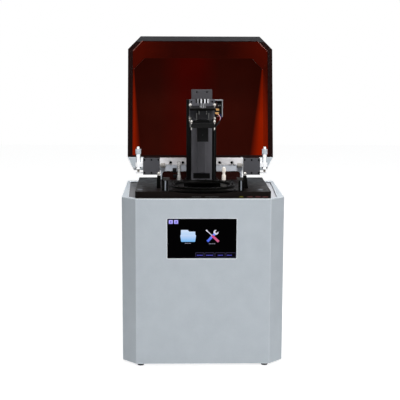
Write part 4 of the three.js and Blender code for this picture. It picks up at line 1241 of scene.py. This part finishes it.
def levelling_screws():
    """Ball-headed screws: two on the arm, two long ones at the back of the plate, two at its front."""
    arm_z = LEVEL["arm_ball_z"]
    rear_z = LEVEL["rear_ball_z"]
    upper = ball_head(4.0, LEVEL["arm_top"] - arm_z, 1.6)
    long_screw = ball_head(3.6, LEVEL["rear_tip_z"] - rear_z, 0.8)
    collar = revolve([(0, 0), (3.2, 0), (3.2, 2.2), (2.6, 2.8), (0, 2.8)], 28)
    short_screw = ball_head(2.9, -6, 1.2)
    tip = revolve([(0, -4), (1.0, -3.6), (1.4, -3), (1.4, 2), (0, 2)], 24)
    for side, sign in SIDES:
        rear = (sign * LEVEL["rear_x"], LEVEL["rear_y"])
        front = (sign * LEVEL["front_x"], LEVEL["front_y"])
        piece(f"arm_ball_{side}", moved(upper, (*rear, arm_z)), "ball_steel", "carriage")
        lower = joined(moved(long_screw, (*rear, rear_z)), moved(collar, (*rear, LEVEL["plate_high"])))
        piece(f"rear_level_screw_{side}", lower, "ball_steel", "platform")
        near = joined(moved(short_screw, (*front, LEVEL["front_ball_z"])),
                      moved(tip, (*front, LEVEL["plate_low"] - 1)))
        piece(f"front_level_screw_{side}", near, "ball_steel", "platform")


def pivot_pins():
    """Two studs on the platform's boss, and two thin pins on the pivot block in front of them."""
    low = STUD["low"]
    top = STUD["top"]
    radius = STUD["radius"]
    stud = revolve([(0, low), (radius, low), (radius, top - 0.4), (radius - 0.4, top), (0, top)], 20)
    radius = PIN["radius"]
    pin = revolve([(0, PIN["low"]), (radius, PIN["low"]), (radius, PIN["top"] - 0.2), (0, PIN["top"])], 16)
    for side, sign in SIDES:
        stud_place = (sign * STUD["x"], STUD["y"], 0)
        pin_place = (sign * PIN["x"], PIN["y"], 0)
        piece(f"boss_stud_{side}", moved(stud, stud_place), "fastener_steel", "platform")
        piece(f"pivot_pin_{side}", moved(pin, pin_place), "fastener_steel", "pivot_block")


def head_screws():
    """Socket screws in the arm and in the carriage's front, and a dimple in the platform's front."""
    x = ARM_SCREWS["x"]
    far_x = CARRIAGE_SCREWS["x"]
    upright = [moved(cap_screw(2.4, 2.2), (at_x, ARM_SCREWS["y"], LEVEL["arm_top"])) for at_x in (-x, x)]
    facing = [moved(cap_screw(2.2, 1.4), (at_x, CARRIAGE_SCREWS["y"], CARRIAGE_SCREWS["z"]), TO_FRONT)
              for at_x in (-far_x, far_x)]
    piece("arm_screws", joined(*upright, *facing), "black_screw", "carriage")
    radius = DIMPLE["radius"]
    mark = revolve([(radius, 0), (radius, 0.25), (0, 0.25)], 16)
    place = (0, DIMPLE["y"], DIMPLE["z"])
    piece("platform_dimple", moved(mark, place, TO_FRONT), "head_grey", "platform")


def top_block_screws():
    x = TOP_BLOCK["screw_x"]
    places = [(at_x, TOP_BLOCK["front"] + 3, TOP_BLOCK["screw_z"]) for at_x in (-x, x)]
    add_screws("top_block_screws", cap_screw(1.9, 1.6), places, "black_screw", turn=TO_FRONT)


def limit_switch():
    """The limit-switch board inside the bright bracket: dark board, lever switch, two tan connectors,
    three coloured leads that gather into one black cable."""
    board_back = BRACKET["back"] - 1.6
    board_front = BRACKET["back"] - 3.2
    front = LIMIT["front"]
    x = (BRACKET["inner"], BRACKET["outer"] - 0.3)
    board = box(x, (board_front, board_back), (BRACKET["low"] + 1, BRACKET["top"] - 2))
    piece("limit_board", board, "limit_board", rounding=0.2)
    switch = box(LIMIT["switch_x"], (front, board_front), LIMIT["switch_z"])
    lever = box((-0.3, 5.2), (-2.4, 2.4), (-0.2, 0.2))
    slope = Matrix.Rotation(0.2, 3, "Y")
    piece("limit_switch_body", switch, "black_plastic", rounding=0.3)
    piece("limit_switch_lever", moved(lever, LIMIT["lever"], slope), "bright_metal", rounding=0.1)
    places = [(at_x, front, LIMIT["screw_z"]) for at_x in LIMIT["screws_x"]]
    add_screws("limit_switch_screws", cap_screw(1.5, 1.3), places, "fastener_steel", turn=TO_FRONT)
    deep = (LIMIT["plug_front"], board_front)
    plugs = [box(LIMIT["plug_x"], deep, (z - 2.3, z + 2.3)) for z in LIMIT["plugs_z"]]
    piece("limit_connectors", joined(*plugs), "tan_plastic", rounding=0.4)
    sleeve = box(LIMIT["gap_x"], (front, board_front), LIMIT["gap_z"])
    piece("limit_connector_gap", sleeve, "black_plastic", rounding=0.3)
    for color, knots in LEADS.items():
        piece(f"lead_{color}", tube(knots, LIMIT["lead"]), f"{color}_wire")
    piece("limit_cable", tube(CABLE, LIMIT["cable"], 16), "black_cable")


# ---- Stages -------------------------------------------------------------------------------------


def beam_details(side, sign):
    """Socket screws down in the beam's bores and the stage's round clamp knob beside the plate."""
    places = [(sign * x, BEAM["front"] + 7.8, BEAM["bore_z"]) for x in BEAM["bores"]]
    add_screws(f"beam_screws_{side}", cap_screw(2.8, 2.4), places, "black_screw", turn=TO_FRONT)
    near, far = BEAM["lock_x"]
    length = far - near
    profile = [(0, 0), (5.2, 0), (5.8, 0.5), (5.8, length - 1.4), (5.2, length - 0.8), (3, length - 0.6),
               (3, length + 2), (0, length + 2)]
    knob = revolve(profile, 80, (20, 0.4, 0.4, length - 1.2))
    turn = Matrix.Rotation(math.radians(90 * sign), 3, "Y")
    place = (sign * near, BEAM["lock_y"], BEAM["lock_z"])
    piece(f"stage_clamp_{side}", moved(knob, place, turn), "clamp_metal")


def stage_details(side, sign):
    """Black screws in the stage plate's holes and the dark rail ends on top of the slide."""
    x = sign * STAGE["x"]
    front = STAGE["front"]
    places = []
    for across in (-STAGE["screw_x"], 0, STAGE["screw_x"]):
        for up in (-STAGE["screw_z"], STAGE["screw_z"]):
            places.append((x + across, front + 4.1, STAGE["z"] + up))
    add_screws(f"stage_screws_{side}", cap_screw(2.2, 3.6), places, "vat_black", f"stage_{side}", TO_FRONT)
    deep = (front + 5.4, front + 10)
    tall = (STAGE["top"] - 0.2, STAGE["top"] + 1.5)
    blocks = []
    for across, half in ((-11.5, 3.2), (0, 4.4), (11.5, 3.2)):
        blocks.append(box((x + across - half, x + across + half), deep, tall))
    piece(f"stage_rail_ends_{side}", joined(*blocks), "black_screw", f"stage_{side}", rounding=0.2)


def micrometer_barrel(side, place):
    """The fixed barrel with its fine scale, and the nut and grub screws that hold it."""
    bore = MIC["bore"]
    low = MIC["barrel_low"]
    top = MIC["barrel_top"]
    sleeve = MIC["sleeve"]
    barrel = [(bore, low), (5.8, low), (6.1, low + 0.3), (6.1, low + 3.4), (5.8, low + 3.7),
              (sleeve - 0.2, low + 3.7), (sleeve - 0.2, low + 13.3), (sleeve, low + 13.5), (sleeve, top),
              (bore, top)]
    stand_in(f"micrometer_barrel_{side}", moved(revolve(barrel, 48, closed=True), place), "sleeve_metal",
             body="base")
    scale = MIC["scale_low"]
    lines = [box((-0.1, 0.1), (-4.56, -4.2), (scale, scale + 7.8))]
    for index in range(8):
        z = scale + 0.6 + index
        width = 1.2 if index % 2 else 0.8
        lines.append(box((0, width), (-4.56, -4.1), (z - 0.12, z + 0.12)))
    piece(f"micrometer_scale_{side}", moved(joined(*lines), place), "engraved")


def micrometer_nut(side, place):
    low = MIC["nut_low"]
    high = low + 2.4
    profile = [(3.4, low), (6.4, low), (6.8, low + 0.4), (6.8, high - 0.4), (6.4, high), (3.4, high)]
    piece(f"micrometer_nut_{side}", moved(revolve(profile, 48, closed=True), place), "sleeve_metal")
    grubs = [(place[0] + x, place[1] - 4.6, MIC["grub_z"]) for x in (-MIC["grub_x"], MIC["grub_x"])]
    add_screws(f"micrometer_grub_screws_{side}", cap_screw(1.5, 1.6), grubs, "black_screw", turn=TO_FRONT)


def micrometer_thimble(side, place):
    """The turning half: sleeve, knurled grip, spindle and cap, with ticks round the sleeve's edge."""
    body = f"thimble_{side}"
    skirt = MIC["skirt"]
    skirt_low = MIC["skirt_low"]
    head = MIC["head"]
    low = MIC["head_low"]
    top = MIC["head_top"]
    tip = MIC["tip"]
    cap_top = MIC["cap_top"]
    wall = 4.8
    sleeve = [(wall, skirt_low), (skirt - 0.4, skirt_low), (skirt, skirt_low + 1.9), (skirt, low - 0.3),
              (wall, low - 0.1), (wall, low)]
    grip = [(wall, low), (head, low), (head, top - 0.3), (head - 0.3, top), (wall, top)]
    spindle = [(0, tip), (2.4, tip), (2.8, tip + 0.4), (2.8, top - 0.4), (0, top - 0.4)]
    cap = [(0, top - 0.4), (wall, top - 0.4), (wall, top + 0.4), (3.4, top + 0.6), (3.4, cap_top - 0.8),
           (2.9, cap_top - 0.2), (0, cap_top)]
    stand_in(f"micrometer_thimble_{side}", moved(revolve(sleeve, 64, closed=True), place), "sleeve_metal",
             body=body)
    knurl = revolve(grip, 216, (36, 0.28, low - 0.1, top - 0.2), closed=True)
    piece(f"micrometer_grip_{side}", moved(knurl, place), "head_metal", body)
    piece(f"micrometer_spindle_{side}", moved(revolve(spindle, 32), place), "spindle_metal", body)
    piece(f"micrometer_cap_{side}", moved(revolve(cap, 40), place), "sleeve_metal", body)
    count = 25
    tick_low = skirt_low + 2.3
    ticks = []
    for index in range(count):
        height = 1.8 if index % 5 else 2.8
        tick = box((-0.11, 0.11), (-skirt - 0.06, -5), (tick_low, tick_low + height))
        ticks.append(moved(tick, turn=Matrix.Rotation(2 * math.pi * index / count, 3, "Z")))
    piece(f"micrometer_ticks_{side}", moved(joined(*ticks), place), "engraved", body)


# ---- Lid ----------------------------------------------------------------------------------------


def opened(shape):
    """A shape drawn on the closed lid, swung open with it."""
    hinge = Vector((0, LID["hinge_y"], LID["hinge_z"]))
    swing = Matrix.Rotation(-LID["open"], 3, "X")
    points, faces = shape
    return [tuple(swing @ (Vector(p) - hinge) + hinge) for p in points], faces


def lid_seams():
    """Thin beads along the seams, coloured light as a painted highlight: where the roof meets the corner
    walls, and round the corners of the rim's opening."""
    seams = []
    for _, sign in SIDES:
        for (x, y), (far_x, far_y), z, radius in LID_SEAMS:
            seams.append(tube([(sign * x, y, z), (sign * far_x, far_y, z)], radius, 8))
    piece("lid_seams", opened(joined(*seams)), "seam_highlight", "lid")


# ---- Studio -------------------------------------------------------------------------------------

FLOOR_HALF = 5.0
FLOOR_GLOW = (0.15, 0.86)  # the floor's own light as the object sees it and as the camera sees it
WORLD = {"front": 0.05, "rear": 0.85, "turn": (0.15, 0.95), "tint": (0.97, 0.985, 1.0)}
LIGHTS = (
    # name, place in metres, size in metres, power in watts, seen in reflections
    ("front_box", (0.15, -2.9, 2.0), (1.8, 1.4), 9, False),
    ("near_box", (0.1, -1.1, 1.7), (0.9, 0.4), 30, False),
    ("right_box", (2.2, -1.7, 1.0), (0.5, 1.6), 3, True),
    ("left_box", (-2.3, -1.5, 1.0), (0.4, 1.4), 0.4, True),
    ("top_box", (0.8, -0.2, 2.5), (1.4, 1.4), 24, True),
)
AIM = Vector((0, 0, 0.33))


def studio_floor():
    """A pale plain floor, near white to the eye with soft contact shading, that lights little itself."""
    graph = Graph("studio_floor")
    to_eye = graph.add("ShaderNodeLightPath").outputs["Is Camera Ray"]
    mottle = graph.noise(400, 2)
    color = graph.mix(mottle, (0.47, 0.47, 0.47), (0.50, 0.50, 0.50))
    material = graph.principled({
        "Base Color": color, "Roughness": 0.9, "Emission Color": (1, 1, 1),
        "Emission Strength": graph.spread(to_eye, *FLOOR_GLOW), "Specular IOR Level": 0.1})
    mesh = bpy.data.meshes.new("studio_floor")
    half = FLOOR_HALF
    low = -FOOT["height"] * MM
    mesh.from_pydata([(-half, -half, low), (half, -half, low), (half, half, low), (-half, half, low)], [],
                     [(0, 1, 2, 3)])
    mesh.materials.append(material)
    floor = bpy.data.objects.new("studio_floor", mesh)
    bpy.context.scene.collection.objects.link(floor)


def studio_world():
    """White to the eye. As light it is bright behind the object and dim in front of it."""
    world = bpy.data.worlds.new("studio_world")
    world.use_nodes = True
    bpy.context.scene.world = world
    tree = world.node_tree
    tree.nodes.clear()
    output = tree.nodes.new("ShaderNodeOutputWorld")
    lit = tree.nodes.new("ShaderNodeBackground")
    seen = tree.nodes.new("ShaderNodeBackground")
    path = tree.nodes.new("ShaderNodeLightPath")
    both = tree.nodes.new("ShaderNodeMixShader")
    place = tree.nodes.new("ShaderNodeTexCoord")
    axes = tree.nodes.new("ShaderNodeSeparateXYZ")
    depth = tree.nodes.new("ShaderNodeMapRange")
    depth.interpolation_type = "SMOOTHSTEP"
    spans = zip(("From Min", "From Max", "To Min", "To Max"), (*WORLD["turn"], WORLD["front"], WORLD["rear"]))
    for name, value in spans:
        depth.inputs[name].default_value = value
    lit.inputs["Color"].default_value = (*WORLD["tint"], 1)
    seen.inputs["Color"].default_value = (1, 1, 1, 1)
    tree.links.new(place.outputs["Generated"], axes.inputs[0])
    tree.links.new(axes.outputs["Y"], depth.inputs["Value"])
    tree.links.new(depth.outputs["Result"], lit.inputs["Strength"])
    tree.links.new(path.outputs["Is Camera Ray"], both.inputs["Fac"])
    tree.links.new(lit.outputs[0], both.inputs[1])
    tree.links.new(seen.outputs[0], both.inputs[2])
    tree.links.new(both.outputs[0], output.inputs["Surface"])


def studio_lights():
    """Large soft lamps, all aimed at the object's middle."""
    for name, place, size, power, reflected in LIGHTS:
        data = bpy.data.lights.new(name, "AREA")
        data.shape = "RECTANGLE"
        data.size, data.size_y = size
        data.energy = power
        lamp = bpy.data.objects.new(name, data)
        lamp.location = place
        lamp.visible_glossy = reflected
        lamp.rotation_euler = (AIM - Vector(place)).to_track_quat("-Z", "Y").to_euler()
        bpy.context.scene.collection.objects.link(lamp)


def studio_camera():
    """The camera's turn is built from its yaw, pitch and roll, in degrees."""
    data = bpy.data.cameras.new("studio_camera")
    data.lens = CAMERA["lens"]
    data.sensor_width = 36
    yaw, pitch, roll = (math.radians(CAMERA[name]) for name in ("yaw", "pitch", "roll"))
    ahead = Vector((math.sin(yaw) * math.cos(pitch), math.cos(yaw) * math.cos(pitch), -math.sin(pitch)))
    level = Vector((math.cos(yaw), -math.sin(yaw), 0))
    upright = level.cross(ahead)
    right = math.cos(roll) * level + math.sin(roll) * upright
    up = math.cos(roll) * upright - math.sin(roll) * level
    turn = Matrix((right, up, -ahead)).transposed()
    camera = bpy.data.objects.new("studio_camera", data)
    camera.matrix_world = Matrix.Translation(Vector(CAMERA["place"]) * MM) @ turn.to_4x4()
    bpy.context.scene.collection.objects.link(camera)
    bpy.context.scene.camera = camera
    bpy.context.scene.view_settings.view_transform = "Standard"
    bpy.context.scene.view_settings.look = "None"


# ---- Build --------------------------------------------------------------------------------------

dress_cad_nodes()
screen_badges()
screen_folder()
screen_tools()
screen_labels()
screen_buttons()
feet()
rear_screws()
power_inlet()
deck_marks()
deck_slots()
vat()
post_rods()
ball_screws()
tap()
thumb_screw()
lead_screw()
lens()
lock_knob()
levelling_screws()
pivot_pins()
head_screws()
top_block_screws()
limit_switch()
for side, sign in SIDES:
    beam_details(side, sign)
    stage_details(side, sign)
    mic_place = (sign * MIC["x"], MIC["y"], 0)
    micrometer_barrel(side, mic_place)
    micrometer_thimble(side, mic_place)
    micrometer_nut(side, mic_place)
lid_seams()
studio_floor()
studio_world()
studio_lights()
studio_camera()
